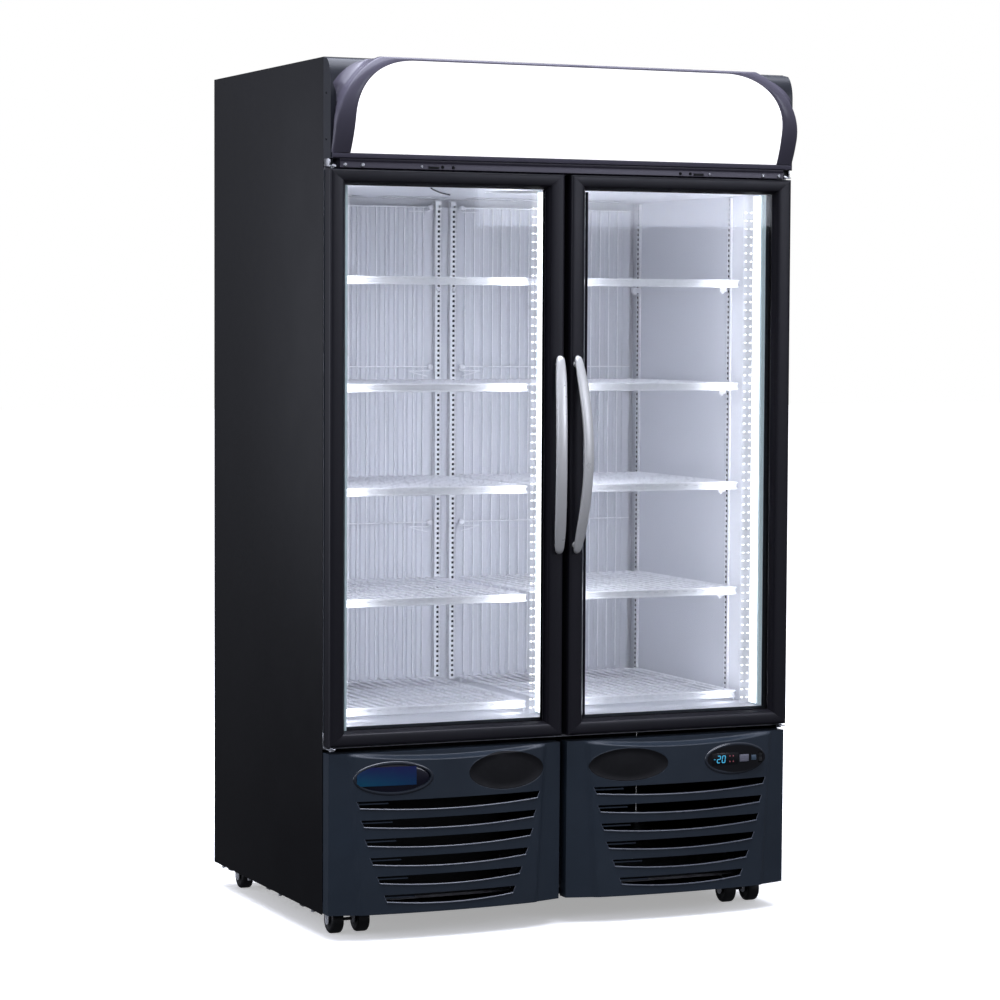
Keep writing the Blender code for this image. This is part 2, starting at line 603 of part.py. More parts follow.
# ------------------------------------------------------------------- casters
def build_caster(name, x, y):
    top, thick = BASE_PLATE_Z - GAP, 0.0035
    leg_at = WHEEL_WIDTH / 2 + 0.0025
    bracket = box("%s_caster_bracket" % name, (x - 0.046, y - 0.036, top - thick),
                  (x + 0.046, y + 0.036, top), ZINC)
    for wheel in (-WHEEL_OFFSET, WHEEL_OFFSET):
        for shift in (-leg_at, leg_at):
            leg_x = x + wheel + shift
            outline = [(y - 0.018, top - thick / 2), (y - 0.010, AXLE_Z - 0.012), (y + 0.010, AXLE_Z - 0.012),
                       (y + 0.018, top - thick / 2)]
            join(bracket, prism(name + "_leg", outline, "X", leg_x - 0.001, leg_x + 0.001, None, CUTTERS))
    cut(bracket, cylinder(name + "_axle_hole", (x, y, AXLE_Z), "X", 0.0046, 0.12, None, 12, CUTTERS))

    facets = 20
    axle = cylinder("%s_wheel_pair" % name, (x, y, AXLE_Z), "X", 0.004, 0.104, TYRE, 12)
    for wheel in (-WHEEL_OFFSET, WHEEL_OFFSET):
        tread = cylinder(name + "_tread", (x + wheel, y, AXLE_Z), "X", AXLE_Z / math.cos(math.pi / facets),
                         WHEEL_WIDTH, None, facets, CUTTERS, math.pi / facets)
        bevel = tread.modifiers.new("round", "BEVEL")
        bevel.width = 0.003
        bevel.segments = 1
        join(axle, tread)


def build_casters():
    for x, side_name in zip(CASTER_X, ("left", "right")):
        for y, place in zip(CASTER_Y, ("front", "rear")):
            build_caster("%s_%s" % (place, side_name), x, y)


build_cabinet()
build_interior()
build_shelves()
build_sign()
build_door(-1, "left")
build_door(1, "right")
build_hinges()
build_front_panels()
build_refrigeration()
build_casters()
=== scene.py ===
"""Finished looks of the two-door glass display freezer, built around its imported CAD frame.

Everything is in metres in the frame's own axes: +Z up, doors face -Y, origin on the floor.
"""
import math

import bmesh
import bpy
from mathutils import Matrix, Vector


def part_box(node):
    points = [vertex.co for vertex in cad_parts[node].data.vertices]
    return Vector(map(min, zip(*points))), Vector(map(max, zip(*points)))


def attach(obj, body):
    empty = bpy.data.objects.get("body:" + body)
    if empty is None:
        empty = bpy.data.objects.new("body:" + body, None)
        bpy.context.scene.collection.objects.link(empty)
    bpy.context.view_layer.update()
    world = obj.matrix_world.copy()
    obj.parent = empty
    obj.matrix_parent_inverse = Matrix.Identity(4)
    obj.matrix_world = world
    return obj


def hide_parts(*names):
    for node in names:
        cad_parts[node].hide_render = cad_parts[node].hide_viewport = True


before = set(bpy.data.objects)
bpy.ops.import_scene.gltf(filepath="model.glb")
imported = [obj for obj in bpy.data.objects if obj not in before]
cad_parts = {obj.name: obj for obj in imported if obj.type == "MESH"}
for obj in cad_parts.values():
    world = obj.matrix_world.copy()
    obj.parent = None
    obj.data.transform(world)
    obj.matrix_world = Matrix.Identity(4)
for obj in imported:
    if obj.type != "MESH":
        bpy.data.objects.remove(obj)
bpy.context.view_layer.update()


def low(node):
    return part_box(node)[0]


def high(node):
    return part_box(node)[1]


# ------------------------------------------------------- places from the frame
HALF = high("right_side_panel").x
FRONT = low("right_side_panel").y
BACK = high("right_side_panel").y
PANEL_BOTTOM = low("right_side_panel").z
HEIGHT = high("right_side_panel").z
DOOR_FACE = low("left_door_frame").y
DOOR_BACK = high("left_door_frame").y
DOOR_BOTTOM = low("left_door_frame").z
DOOR_TOP = high("left_door_frame").z
DOOR_GAP_HALF = low("right_door_frame").x
STILE = low("right_door_glass").x - DOOR_GAP_HALF - 0.0005
RAIL = low("right_door_glass").z - DOOR_BOTTOM - 0.0005
STILE_FLAT, RAIL_FLAT = STILE - 0.009, RAIL - 0.008
GLASS_FRONT = low("right_door_glass").y
GLASS_BACK = high("right_door_glass").y
CAVITY_HALF = high("right_led_bar").x
CAVITY_FLOOR = low("center_mullion").z
CAVITY_TOP = low("evaporator_cover").z
DUCT_FRONT = low("rear_duct_panel").y
SIGN_BOTTOM = low("sign_face").z
GRILLE_BOTTOM = low("right_grille").z
GRILLE_TOP = high("right_grille").z
GRILLE_INNER = low("right_grille").x
GRILLE_OUTER = high("right_grille").x
GRILLE_MID = (GRILLE_INNER + GRILLE_OUTER) / 2
CONTROL = (low("controller_housing") + high("controller_housing")) / 2
CONTROL_FACE = low("controller_housing").y
BADGE = (low("badge_plate") + high("badge_plate")) / 2
SIDES = ((-1, "left"), (1, "right"))


# ------------------------------------------------------------------ materials
class Nodes:
    """A material's node tree with short ways to add and join nodes."""

    def __init__(self, name):
        self.mat = bpy.data.materials.new(name)
        self.mat.use_nodes = True
        self.tree = self.mat.node_tree
        self.shader = self.tree.nodes["Principled BSDF"]
        self.output = self.tree.nodes["Material Output"]
        self.coords = self.tree.nodes.new("ShaderNodeTexCoord").outputs["Object"]

    def add(self, kind, **settings):
        node = self.tree.nodes.new("ShaderNode" + kind)
        for key, value in settings.items():
            if key.startswith("in_"):
                node.inputs[key[3:].replace("_", " ")].default_value = value
            else:
                setattr(node, key, value)
        return node

    def link(self, source, target):
        self.tree.links.new(source, target)

    def stretched(self, scale):
        """Object coordinates scaled along each axis."""
        mapping = self.add("Mapping")
        mapping.inputs["Scale"].default_value = scale
        self.link(self.coords, mapping.inputs["Vector"])
        return mapping.outputs["Vector"]

    def noise(self, scale, detail=4.0, stretch=(1, 1, 1), roughness=0.55):
        node = self.add("TexNoise", in_Scale=scale, in_Detail=detail, in_Roughness=roughness)
        self.link(self.stretched(stretch), node.inputs["Vector"])
        return node.outputs["Fac"]

    def spread(self, value, low_value, high_value, start=0.3, end=0.7):
        """Maps start..end of a value onto low_value..high_value."""
        node = self.add("MapRange")
        self.link(value, node.inputs["Value"])
        node.inputs["From Min"].default_value = start
        node.inputs["From Max"].default_value = end
        node.inputs["To Min"].default_value = low_value
        node.inputs["To Max"].default_value = high_value
        return node.outputs["Result"]

    def blend(self, value, first, second):
        """A colour between two colours."""
        node = self.add("Mix", data_type="RGBA")
        self.link(value, node.inputs["Factor"])
        for socket, colour in ((node.inputs[6], first), (node.inputs[7], second)):
            if isinstance(colour, bpy.types.NodeSocket):
                self.link(colour, socket)
            else:
                socket.default_value = (*colour, 1.0)
        return node.outputs[2]

    def bump(self, height, strength, distance=0.001, after=None):
        node = self.add("Bump", in_Strength=strength, in_Distance=distance)
        self.link(height, node.inputs["Height"])
        if after is not None:
            self.link(after, node.inputs["Normal"])
        return node.outputs["Normal"]

    def axis(self, name):
        split = self.add("SeparateXYZ")
        self.link(self.coords, split.inputs["Vector"])
        return split.outputs[name]


def finish(name, colour, roughness, metallic=0.0, mottle=0.15, mottle_scale=9.0, rough_spread=0.08,
           grain_scale=900.0, grain=0.05, stretch=(1, 1, 1), specular=0.5, coat=0.0, worn=None):
    """A painted, moulded or plated surface: mottled colour, uneven gloss, a fine grain and soft smudges."""
    n = Nodes(name)
    broad = n.noise(mottle_scale, 5.0, stretch)
    fine = n.noise(grain_scale, 2.0, stretch)
    dark = tuple(c * (1 - mottle) for c in colour)
    light = tuple(min(1.0, c * (1 + mottle)) for c in colour)
    base = n.blend(n.spread(broad, 0.0, 1.0), dark, light)
    if worn is not None:
        specks = n.spread(n.noise(grain_scale * 0.25, 3.0, stretch), 0.0, 0.55, 0.62, 0.74)
        base = n.blend(specks, base, worn)
    n.link(base, n.shader.inputs["Base Color"])
    uneven = n.noise(mottle_scale * 2.3, 6.0, stretch)
    gloss = n.spread(uneven, roughness - rough_spread, roughness + rough_spread)
    n.link(gloss, n.shader.inputs["Roughness"])
    n.shader.inputs["Metallic"].default_value = metallic
    n.shader.inputs["Specular IOR Level"].default_value = specular
    n.shader.inputs["Coat Weight"].default_value = coat
    n.shader.inputs["Coat Roughness"].default_value = 0.08
    n.link(n.bump(fine, grain), n.shader.inputs["Normal"])
    return n.mat


def glowing(name, colour, strength, ripple_scale, axis_name, surface=(0.9, 0.92, 0.95)):
    """A self-lit surface: steady glow with a faint ripple along one axis; it serves the lamps and also the
    painted glow of the lamp carriers.
    """
    n = Nodes(name)
    wave = n.add("TexWave", in_Scale=ripple_scale, bands_direction=axis_name, in_Distortion=0.4)
    n.link(n.coords, wave.inputs["Vector"])
    dimmer = tuple(c * 0.93 for c in colour)
    glow = n.blend(n.spread(wave.outputs["Fac"], 0.0, 1.0, 0.0, 1.0), dimmer, colour)
    n.link(glow, n.shader.inputs["Emission Color"])
    n.shader.inputs["Emission Strength"].default_value = strength
    n.shader.inputs["Base Color"].default_value = (*surface, 1.0)
    n.shader.inputs["Roughness"].default_value = 0.35
    n.link(n.bump(n.noise(300.0), 0.04), n.shader.inputs["Normal"])
    return n.mat


def pane(name, tint, mirror_ior, glow=0.0):
    """Clear sheet with a faint tint that mirrors more at a glancing angle; glow is light it carries."""
    n = Nodes(name)
    clear = n.add("BsdfTransparent", in_Color=(*tint, 1.0))
    if glow:
        lit = n.add("Emission", in_Color=(0.95, 0.97, 1.0, 1.0), in_Strength=glow)
        both = n.add("AddShader")
        n.link(clear.outputs[0], both.inputs[0])
        n.link(lit.outputs[0], both.inputs[1])
        clear = both
    shine = n.add("BsdfGlossy")
    n.link(n.spread(n.noise(3.0, 3.0), 0.01, 0.05), shine.inputs["Roughness"])
    n.link(n.bump(n.noise(1.2, 1.0), 0.02, 0.002), shine.inputs["Normal"])
    mix = n.add("MixShader")
    n.link(n.add("Fresnel", in_IOR=mirror_ior).outputs["Fac"], mix.inputs["Fac"])
    n.link(clear.outputs[0], mix.inputs[1])
    n.link(shine.outputs[0], mix.inputs[2])
    n.link(mix.outputs[0], n.output.inputs["Surface"])
    n.tree.nodes.remove(n.shader)
    return n.mat


def perforated(name, base, dot, pitch):
    """A dark strip pierced by small holes in regular rows."""
    n = Nodes(name)
    cells = n.add("TexVoronoi", feature="F1", in_Scale=1.0, in_Randomness=0.0)
    n.link(n.stretched((1 / pitch, 1 / pitch, 1 / pitch)), cells.inputs["Vector"])
    hole = n.spread(cells.outputs["Distance"], 1.0, 0.0, 0.22, 0.42)
    n.link(n.blend(hole, base, dot), n.shader.inputs["Base Color"])
    n.link(n.spread(hole, 0.35, 0.7, 0.0, 1.0), n.shader.inputs["Roughness"])
    n.link(n.bump(hole, 0.4, 0.0006), n.shader.inputs["Normal"])
    return n.mat


def badge_blue(name):
    """A generic blue plate, deeper towards its top right corner."""
    n = Nodes(name)
    across = n.spread(n.axis("X"), 0.0, 1.0, BADGE.x - 0.07, BADGE.x + 0.04)
    upward = n.spread(n.axis("Z"), 0.0, 1.0, BADGE.z - 0.01, BADGE.z + 0.03)
    teal = n.blend(across, (0.0035, 0.060, 0.115), (0.0040, 0.030, 0.095))
    deep = n.blend(upward, teal, (0.0080, 0.0050, 0.070))
    mottled = n.blend(n.spread(n.noise(40.0), 0.0, 0.15), deep, (0.006, 0.06, 0.12))
    n.link(mottled, n.shader.inputs["Base Color"])
    n.link(n.spread(n.noise(60.0), 0.16, 0.26), n.shader.inputs["Roughness"])
    n.link(n.bump(n.noise(700.0), 0.03), n.shader.inputs["Normal"])
    return n.mat


SIDE_PAINT = finish("textured black steel", (0.0058, 0.0058, 0.0068), 0.44, specular=0.24, mottle=0.10,
                    mottle_scale=3.0, rough_spread=0.03, grain_scale=1400.0, grain=0.08)
TOP_PAINT = finish("black steel, top and back", (0.010, 0.010, 0.011), 0.48, specular=0.3, grain_scale=1200.0,
                   grain=0.12, mottle=0.20, worn=(0.024, 0.024, 0.026))
FRAME_BLACK = finish("black anodised aluminium", (0.0100, 0.0095, 0.0135), 0.36, metallic=0.2, mottle=0.10,
                     grain_scale=500.0, grain=0.03, stretch=(1, 1, 0.15), specular=0.34, rough_spread=0.03)
RAIL_BLACK = finish("black header rail", (0.0400, 0.0350, 0.0520), 0.34, metallic=0.2, mottle=0.10,
                    grain_scale=500.0, grain=0.03, stretch=(0.15, 1, 1), specular=0.42, rough_spread=0.03)
BEZEL_GLOSS = finish("gloss sign moulding", (0.0880, 0.0820, 0.1080), 0.24, mottle=0.08, rough_spread=0.03,
                     grain_scale=260.0, grain=0.012, specular=0.26)
RING_GLOSS = finish("gloss oval ring", (0.0150, 0.0200, 0.0290), 0.16, mottle=0.10, rough_spread=0.03,
                    grain_scale=260.0, grain=0.012, specular=0.70, coat=0.3)
SHELL_BLACK = finish("satin sign shell", (0.0170, 0.0185, 0.0240), 0.34, mottle=0.08, rough_spread=0.03,
                     grain_scale=260.0, grain=0.012, specular=0.30)
GRILLE_PLASTIC = finish("charcoal blue plastic", (0.0185, 0.0275, 0.0400), 0.38, mottle=0.12,
                        mottle_scale=6.0, rough_spread=0.05, grain_scale=1600.0, grain=0.07, specular=0.45)
# lip plastic: glossy and several times lighter than the grille plastic, a painted highlight along the slot
# edges
LIP_PAINTED_HIGHLIGHT = finish("glossy grille plastic, painted highlight", (0.085, 0.098, 0.125), 0.26, mottle=0.10, specular=0.9,
                     grain_scale=600.0, grain=0.02, rough_spread=0.04)
# near-black plastic: the own colour of the fans and black screws, and painted shade where it lines the slot
# pockets and the lock recesses
SLOT_BLACK = finish("slot shadow plastic", (0.0022, 0.0022, 0.0028), 0.5, mottle=0.2, specular=0.20)
MATT_OVAL = finish("matt oval insert", (0.0078, 0.0078, 0.0090), 0.62, mottle=0.12, mottle_scale=30.0,
                   grain_scale=1500.0, grain=0.10, specular=0.20)
GLOSS_OVAL = finish("gloss navy dome", (0.0050, 0.0048, 0.0140), 0.12, mottle=0.2, rough_spread=0.03,
                    grain=0.01, coat=0.3)
FASCIA_BLACK = finish("gloss black fascia", (0.0045, 0.0045, 0.0060), 0.16, mottle=0.2, rough_spread=0.03,
                      grain=0.01)
LINER = finish("white enamelled liner", (0.74, 0.745, 0.79), 0.36, mottle=0.025, mottle_scale=2.5,
               grain_scale=700.0, grain=0.03, specular=0.4)
DUCT_WHITE = finish("white duct panel", (0.68, 0.685, 0.74), 0.40, mottle=0.03, mottle_scale=4.0,
                    grain_scale=700.0, grain=0.03, specular=0.35)
WIRE = finish("white coated wire", (0.88, 0.88, 0.92), 0.30, mottle=0.03, mottle_scale=30.0,
              grain_scale=500.0, grain=0.03, specular=0.45)
CLIP_WHITE = finish("white moulded clip", (0.82, 0.82, 0.86), 0.32, mottle=0.04, mottle_scale=60.0)
SLOT_GREY = finish("slot shade", (0.020, 0.021, 0.029), 0.6, mottle=0.2, mottle_scale=80.0, specular=0.2)
SATIN = finish("satin silver paint", (0.70, 0.70, 0.685), 0.34, metallic=0.35, mottle=0.03,
               mottle_scale=14.0, grain_scale=2200.0, grain=0.04)
ZINC = finish("bright zinc plate", (0.62, 0.63, 0.65), 0.28, metallic=1.0, mottle=0.12, mottle_scale=60.0,
              grain=0.06)
GALVANISED = finish("galvanised sheet", (0.36, 0.37, 0.39), 0.45, metallic=0.9, mottle=0.22,
                    mottle_scale=35.0, grain_scale=300.0, grain=0.06)
FIN_METAL = finish("aluminium fins", (0.52, 0.53, 0.55), 0.36, metallic=0.9, mottle=0.2, mottle_scale=25.0,
                   grain_scale=380.0, grain=0.35, stretch=(3, 0.2, 0.2))
RUBBER = finish("black gasket rubber", (0.0070, 0.0075, 0.0080), 0.60, mottle=0.2, mottle_scale=30.0,
                grain=0.10, specular=0.3)
TYRE = finish("black wheel plastic", (0.0060, 0.0060, 0.0068), 0.40, mottle=0.25, mottle_scale=60.0,
              grain_scale=700.0, grain=0.10, specular=0.45, worn=(0.022, 0.022, 0.022))
CONDENSER_BLACK = finish("black condenser fins", (0.0050, 0.0050, 0.0055), 0.5, mottle=0.2, mottle_scale=25.0,
                         grain_scale=380.0, grain=0.35, stretch=(3, 0.2, 0.2), specular=0.25)
FORK_ZINC = finish("zinc plated fork", (0.70, 0.71, 0.73), 0.34, metallic=0.15, mottle_scale=60.0,
                   grain=0.06)
SCREEN_BLACK = perforated("black air screen", (0.004, 0.004, 0.004), (0.001, 0.001, 0.001), 0.0030)
COMPRESSOR_BLACK = finish("compressor enamel", (0.007, 0.007, 0.008), 0.55, specular=0.15, mottle=0.2,
                          mottle_scale=22.0, grain_scale=160.0, grain=0.10)
KEY_GREY = finish("lit grey key", (0.17, 0.17, 0.21), 0.42, mottle=0.12, mottle_scale=120.0)
KEY_BLUE = finish("blue grey key", (0.060, 0.095, 0.135), 0.42, mottle=0.12, mottle_scale=120.0)
BADGE_PLATE = badge_blue("generic blue plate")
SPACER_DARK = perforated("black perforated spacer", (0.006, 0.006, 0.009), (0.07, 0.075, 0.09), 0.0062)
BEVEL_DOTS = perforated("dotted glazing bead", (0.0065, 0.0062, 0.0095), (0.030, 0.030, 0.040), 0.0062)
GLASS_CLEAR = pane("door glass", (0.988, 0.993, 0.992), 1.25)
LENS_CLEAR = pane("clear lamp wing", (0.975, 0.978, 0.985), 1.08, 0.10)
# pale green strip: the green of a glass edge, made pale as a painted highlight
GLASS_EDGE_HIGHLIGHT = finish("green glass edge, painted highlight", (0.58, 0.72, 0.72), 0.18, mottle=0.1, mottle_scale=40.0)
SIGN_GLOW = glowing("lit sign acrylic", (1.0, 1.0, 1.0), 1.25, 14.0, "X")
LED_GLOW = glowing("led diffuser", (0.97, 0.975, 1.0), 2.0, 60.0, "Z")
DOT_GLOW = glowing("led dots", (0.97, 0.975, 1.0), 1.6, 60.0, "Z")
# lamp carriers: a dim teal glow, painted light on parts that are not the lamps
LAMP_CARRIER_PAINTED_GLOW = glowing("lamp carrier, painted glow", (0.34, 0.42, 0.46), 0.72, 60.0, "Z", (0.36, 0.45, 0.48))
BREAKER_TRIM = finish("dark breaker trim", (0.0240, 0.0330, 0.0420), 0.42, mottle=0.10, mottle_scale=20.0,
                      specular=0.4)
MULLION_WHITE = finish("pale mullion", (0.60, 0.61, 0.66), 0.4, mottle=0.05, mottle_scale=20.0)
DIGIT_GLOW = glowing("cyan digits", (0.05, 0.36, 0.60), 1.2, 80.0, "X", (0.02, 0.1, 0.15))
DOT_RED = glowing("small red lamps", (0.24, 0.06, 0.08), 0.6, 80.0, "X", (0.1, 0.02, 0.03))


# --------------------------------------------------------------- mesh helpers
AXIS_TURN = {"X": Matrix.Rotation(math.pi / 2, 4, "Y"), "Y": Matrix.Rotation(-math.pi / 2, 4, "X"),
             "Z": Matrix.Identity(4)}


def round_edges(bm, edges, rounding, segments):
    bmesh.ops.bevel(bm, geom=edges, offset=rounding, offset_type="OFFSET", segments=segments,
                    profile=0.5, affect="EDGES", clamp_overlap=True)


def block(bm, lowest, highest, rounding=0.0, segments=2):
    """A block between two corners, with rounded edges."""
    lowest, highest = Vector(lowest), Vector(highest)
    made = bmesh.ops.create_cube(bm, size=1.0)
    verts = made["verts"]
    bmesh.ops.scale(bm, vec=highest - lowest, verts=verts)
    bmesh.ops.translate(bm, vec=(lowest + highest) / 2, verts=verts)
    if rounding:
        edges = list(dict.fromkeys(edge for vert in verts for edge in vert.link_edges))
        round_edges(bm, edges, rounding, segments)


def side_block(bm, side, x_inner, x_outer, y0, y1, z0, z1, rounding=0.0, segments=2):
    """A block between two distances from the cabinet's middle plane, on one side of it."""
    xs = sorted((side * x_inner, side * x_outer))
    block(bm, (xs[0], y0, z0), (xs[1], y1, z1), rounding, segments)


def loft(bm, rings, closed=False, caps=True):
    """Skins rings of equal point counts. closed joins the last ring to the first."""
    loops = [[bm.verts.new(point) for point in ring] for ring in rings]
    pairs = list(zip(loops, loops[1:]))
    if closed:
        pairs.append((loops[-1], loops[0]))
    count = len(loops[0])
    for first, second in pairs:
        for k in range(count):
            after = (k + 1) % count
            bm.faces.new((first[k], first[after], second[after], second[k]))
    if caps and not closed:
        bm.faces.new(loops[0])
        bm.faces.new(list(reversed(loops[-1])))


def prism(bm, outline, axis, start, end):
    """A flat outline pushed along an axis; its plane is YZ, XZ or XY for X, Y and Z."""
    order = {"X": (2, 0, 1), "Y": (0, 2, 1), "Z": (0, 1, 2)}[axis]
    loft(bm, [[tuple((u, v, w)[k] for k in order) for u, v in outline] for w in (start, end)])


def tube(bm, points, radius, sides=8, closed=False):
    """A round bar along a line of points, turned as little as possible from one to the next."""
    points = [Vector(p) for p in points]
    count = len(points)
    rings = []
    normal = None
    for k, point in enumerate(points):
        before = points[k - 1] if k or closed else point
        after = points[(k + 1) % count] if k < count - 1 or closed else point
        along = (after - before).normalized()
        if normal is None:
            normal = along.orthogonal().normalized()
        normal = (normal - along * normal.dot(along)).normalized()
        across = along.cross(normal)
        ring = []
        for j in range(sides):
            angle = 2 * math.pi * j / sides
            ring.append(point + radius * (math.cos(angle) * normal + math.sin(angle) * across))
        rings.append(ring)
    loft(bm, rings, closed)


def turned(bm, profile, centre, axis, steps=24):
    """A turned shape from (radius, height) points; a zero radius closes it."""
    matrix = Matrix.Translation(Vector(centre)) @ AXIS_TURN[axis]
    rings = []
    for radius, height in profile:
        ring = []
        for k in range(steps):
            angle = 2 * math.pi * k / steps
            reach = max(radius, 1e-5)
            ring.append(matrix @ Vector((reach * math.cos(angle), reach * math.sin(angle), height)))
        rings.append(ring)
    loft(bm, rings)


def arc(centre, radii, start, end, steps, power=2.0):
    """Points of a (super)ellipse between two angles in degrees."""
    points = []
    for k in range(steps + 1):
        angle = math.radians(start + (end - start) * k / steps)
        c, s = math.cos(angle), math.sin(angle)
        u = math.copysign(abs(c) ** (2 / power), c)
        v = math.copysign(abs(s) ** (2 / power), s)
        points.append((centre[0] + radii[0] * u, centre[1] + radii[1] * v))
    return points


def screw_head(bm, centre, axis, radius, out=-1):
    """A pan head with a shallow round recess, standing out along an axis."""
    tall = radius * 0.55
    dome = [(radius, 0.0), (radius, 0.25 * tall * out), (radius * 0.8, 0.8 * tall * out),
            (radius * 0.35, tall * out), (radius * 0.30, 0.45 * tall * out), (0.0, 0.40 * tall * out)]
    turned(bm, dome, centre, axis, 14)


def piece(name, bm, mat, body, replaces=(), smooth=35.0):
    """Turns a bmesh into a shown piece that rides on a body."""
    bmesh.ops.recalc_face_normals(bm, faces=bm.faces)
    mesh = bpy.data.meshes.new(name)
    bm.to_mesh(mesh)
    bm.free()
    mesh.shade_smooth()
    mesh.set_sharp_from_angle(angle=math.radians(smooth))
    obj = bpy.data.objects.new(name, mesh)
    bpy.context.scene.collection.objects.link(obj)
    mesh.materials.append(mat)
    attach(obj, body)
    if replaces:
        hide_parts(*replaces)
    return obj


def repaint(node, mat, smooth=None):
    """Gives a kept CAD node its finished material."""
    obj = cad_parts[node]
    obj.data.materials.clear()
    obj.data.materials.append(mat)
    if smooth:
        obj.data.shade_smooth()
        obj.data.set_sharp_from_angle(angle=math.radians(smooth))


# -------------------------------------------------------------- stage and view
def build_camera():
    yaw, pitch, roll = math.radians(23.95), math.radians(3.28), math.radians(0.28)
    eye = (-3.081, FRONT - 6.600, 1.410)
    forward = Vector((math.sin(yaw) * math.cos(pitch), math.cos(yaw) * math.cos(pitch), -math.sin(pitch)))
    level = Vector((math.cos(yaw), -math.sin(yaw), 0.0))
    upright = level.cross(forward)
    right = level * math.cos(roll) + upright * math.sin(roll)
    up = upright * math.cos(roll) - level * math.sin(roll)
    camera = bpy.data.objects.new("camera", bpy.data.cameras.new("camera"))
    bpy.context.scene.collection.objects.link(camera)
    turn = Matrix((right, up, -forward)).transposed().to_4x4()
    camera.matrix_world = Matrix.Translation(eye) @ turn
    camera.data.lens = 112.43
    camera.data.sensor_width = 36.0
    camera.data.clip_end = 100.0
    bpy.context.scene.camera = camera


def soft_light(name, place, target, size, power, hidden=False):
    """A rectangular lamp aimed at a point; a hidden one fills the cold space without being seen."""
    light = bpy.data.lights.new(name, "AREA")
    light.shape = "RECTANGLE"
    light.size, light.size_y = size
    light.energy = power
    light.color = (0.90, 0.92, 1.0) if hidden else (0.84, 0.87, 1.0)
    obj = bpy.data.objects.new(name, light)
    bpy.context.scene.collection.objects.link(obj)
    obj.location = place
    obj.rotation_mode = "QUATERNION"
    obj.rotation_quaternion = (Vector(target) - Vector(place)).to_track_quat("-Z", "Y")
    if hidden:
        obj.visible_camera = False
        obj.visible_glossy = False


def build_world():
    """A studio that is white to look at, lit from above and in front, dim behind and below."""
    world = bpy.data.worlds.new("studio")
    bpy.context.scene.world = world
    world.use_nodes = True
    tree = world.node_tree
    shade = tree.nodes["Background"]
    shade.inputs["Color"].default_value = (0.84, 0.87, 1.0, 1)
    seen = tree.nodes.new("ShaderNodeBackground")
    seen.inputs["Color"].default_value = (1, 1, 1, 1)
    coords = tree.nodes.new("ShaderNodeTexCoord")
    split = tree.nodes.new("ShaderNodeSeparateXYZ")
    tree.links.new(coords.outputs["Generated"], split.inputs["Vector"])
    product = tree.nodes.new("ShaderNodeMath")
    product.operation = "MULTIPLY"
    ramps = ((0, "Z", -0.25, 0.80, 0.08, 0.70), (1, "Y", -0.2, 0.9, 1.0, 0.45))
    for slot, axis, start, end, first, last in ramps:
        ramp = tree.nodes.new("ShaderNodeMapRange")
        limits = (("From Min", start), ("From Max", end), ("To Min", first), ("To Max", last))
        for socket, value in limits:
            ramp.inputs[socket].default_value = value
        tree.links.new(split.outputs[axis], ramp.inputs["Value"])
        tree.links.new(ramp.outputs["Result"], product.inputs[slot])
    tree.links.new(product.outputs[0], shade.inputs["Strength"])
    mix = tree.nodes.new("ShaderNodeMixShader")
    path = tree.nodes.new("ShaderNodeLightPath")
    tree.links.new(path.outputs["Is Camera Ray"], mix.inputs["Fac"])
    tree.links.new(shade.outputs[0], mix.inputs[1])
    tree.links.new(seen.outputs[0], mix.inputs[2])
    tree.links.new(mix.outputs[0], tree.nodes["World Output"].inputs["Surface"])


def floor_white():
    """Matt white that turns self-lit away from the object, so that it meets the white backdrop."""
    n = Nodes("pale studio floor")
    reach = n.add("VectorMath", operation="LENGTH")
    n.link(n.coords, reach.inputs[0])
    grow = n.spread(reach.outputs["Value"], 0.36, 1.0, 0.5, 2.6)
    n.link(grow, n.shader.inputs["Emission Strength"])
    n.shader.inputs["Emission Color"].default_value = (1, 1, 1, 1)
    n.link(n.blend(n.noise(2.0), (0.895, 0.895, 0.895), (0.90, 0.90, 0.90)), n.shader.inputs["Base Color"])
    n.shader.inputs["Roughness"].default_value = 0.8
    n.shader.inputs["Specular IOR Level"].default_value = 0.0
    return n.mat


def build_stage():
    bpy.context.scene.view_settings.view_transform = "Standard"
    build_world()
    bm = bmesh.new()
    reach = 40.0
    bm.faces.new([bm.verts.new(p) for p in ((-reach, -reach, 0), (reach, -reach, 0), (reach, reach, 0),
                                            (-reach, reach, 0))])
    mesh = bpy.data.meshes.new("floor")
    bm.to_mesh(mesh)
    bm.free()
    floor = bpy.data.objects.new("floor", mesh)
    bpy.context.scene.collection.objects.link(floor)
    mesh.materials.append(floor_white())
    floor.visible_diffuse = False
    floor.visible_glossy = False

    soft_light("overhead", (-0.4, -0.3, 5.2), (0.0, 0.0, 0.0), (5.0, 5.0), 560)
    soft_light("left_wide", (-6.0, 1.4, 1.5), (0.0, -0.3, 1.1), (3.4, 2.6), 90)
    soft_light("front_left", (-4.6, -3.6, 2.6), (0.0, 0.0, 1.5), (0.6, 1.8), 34)
    soft_light("front_right", (3.0, -5.8, 2.7), (0.0, -0.3, 1.2), (1.6, 1.8), 60)
    soft_light("back_left", (-3.8, 3.6, 1.8), (-0.5, 0.0, 0.9), (2.2, 2.6), 15)
    soft_light("back_right", (3.0, 4.5, 3.0), (0.3, 0.0, 1.2), (2.0, 2.0), 40)
    lamp_y = FRONT + 0.075
    tall = (0.03, CAVITY_TOP - CAVITY_FLOOR - 0.02)
    mid = (CAVITY_TOP + CAVITY_FLOOR) / 2
    for side in (-1, 1):
        for name, x, aim, power in (("cold_space", 0.495, 0.20, 1.15), ("mullion", 0.065, 0.40, 1.55)):
            place, target = (side * x, lamp_y, mid), (side * aim, BACK, mid)
            soft_light("%s_%d" % (name, side), place, target, tall, power, True)


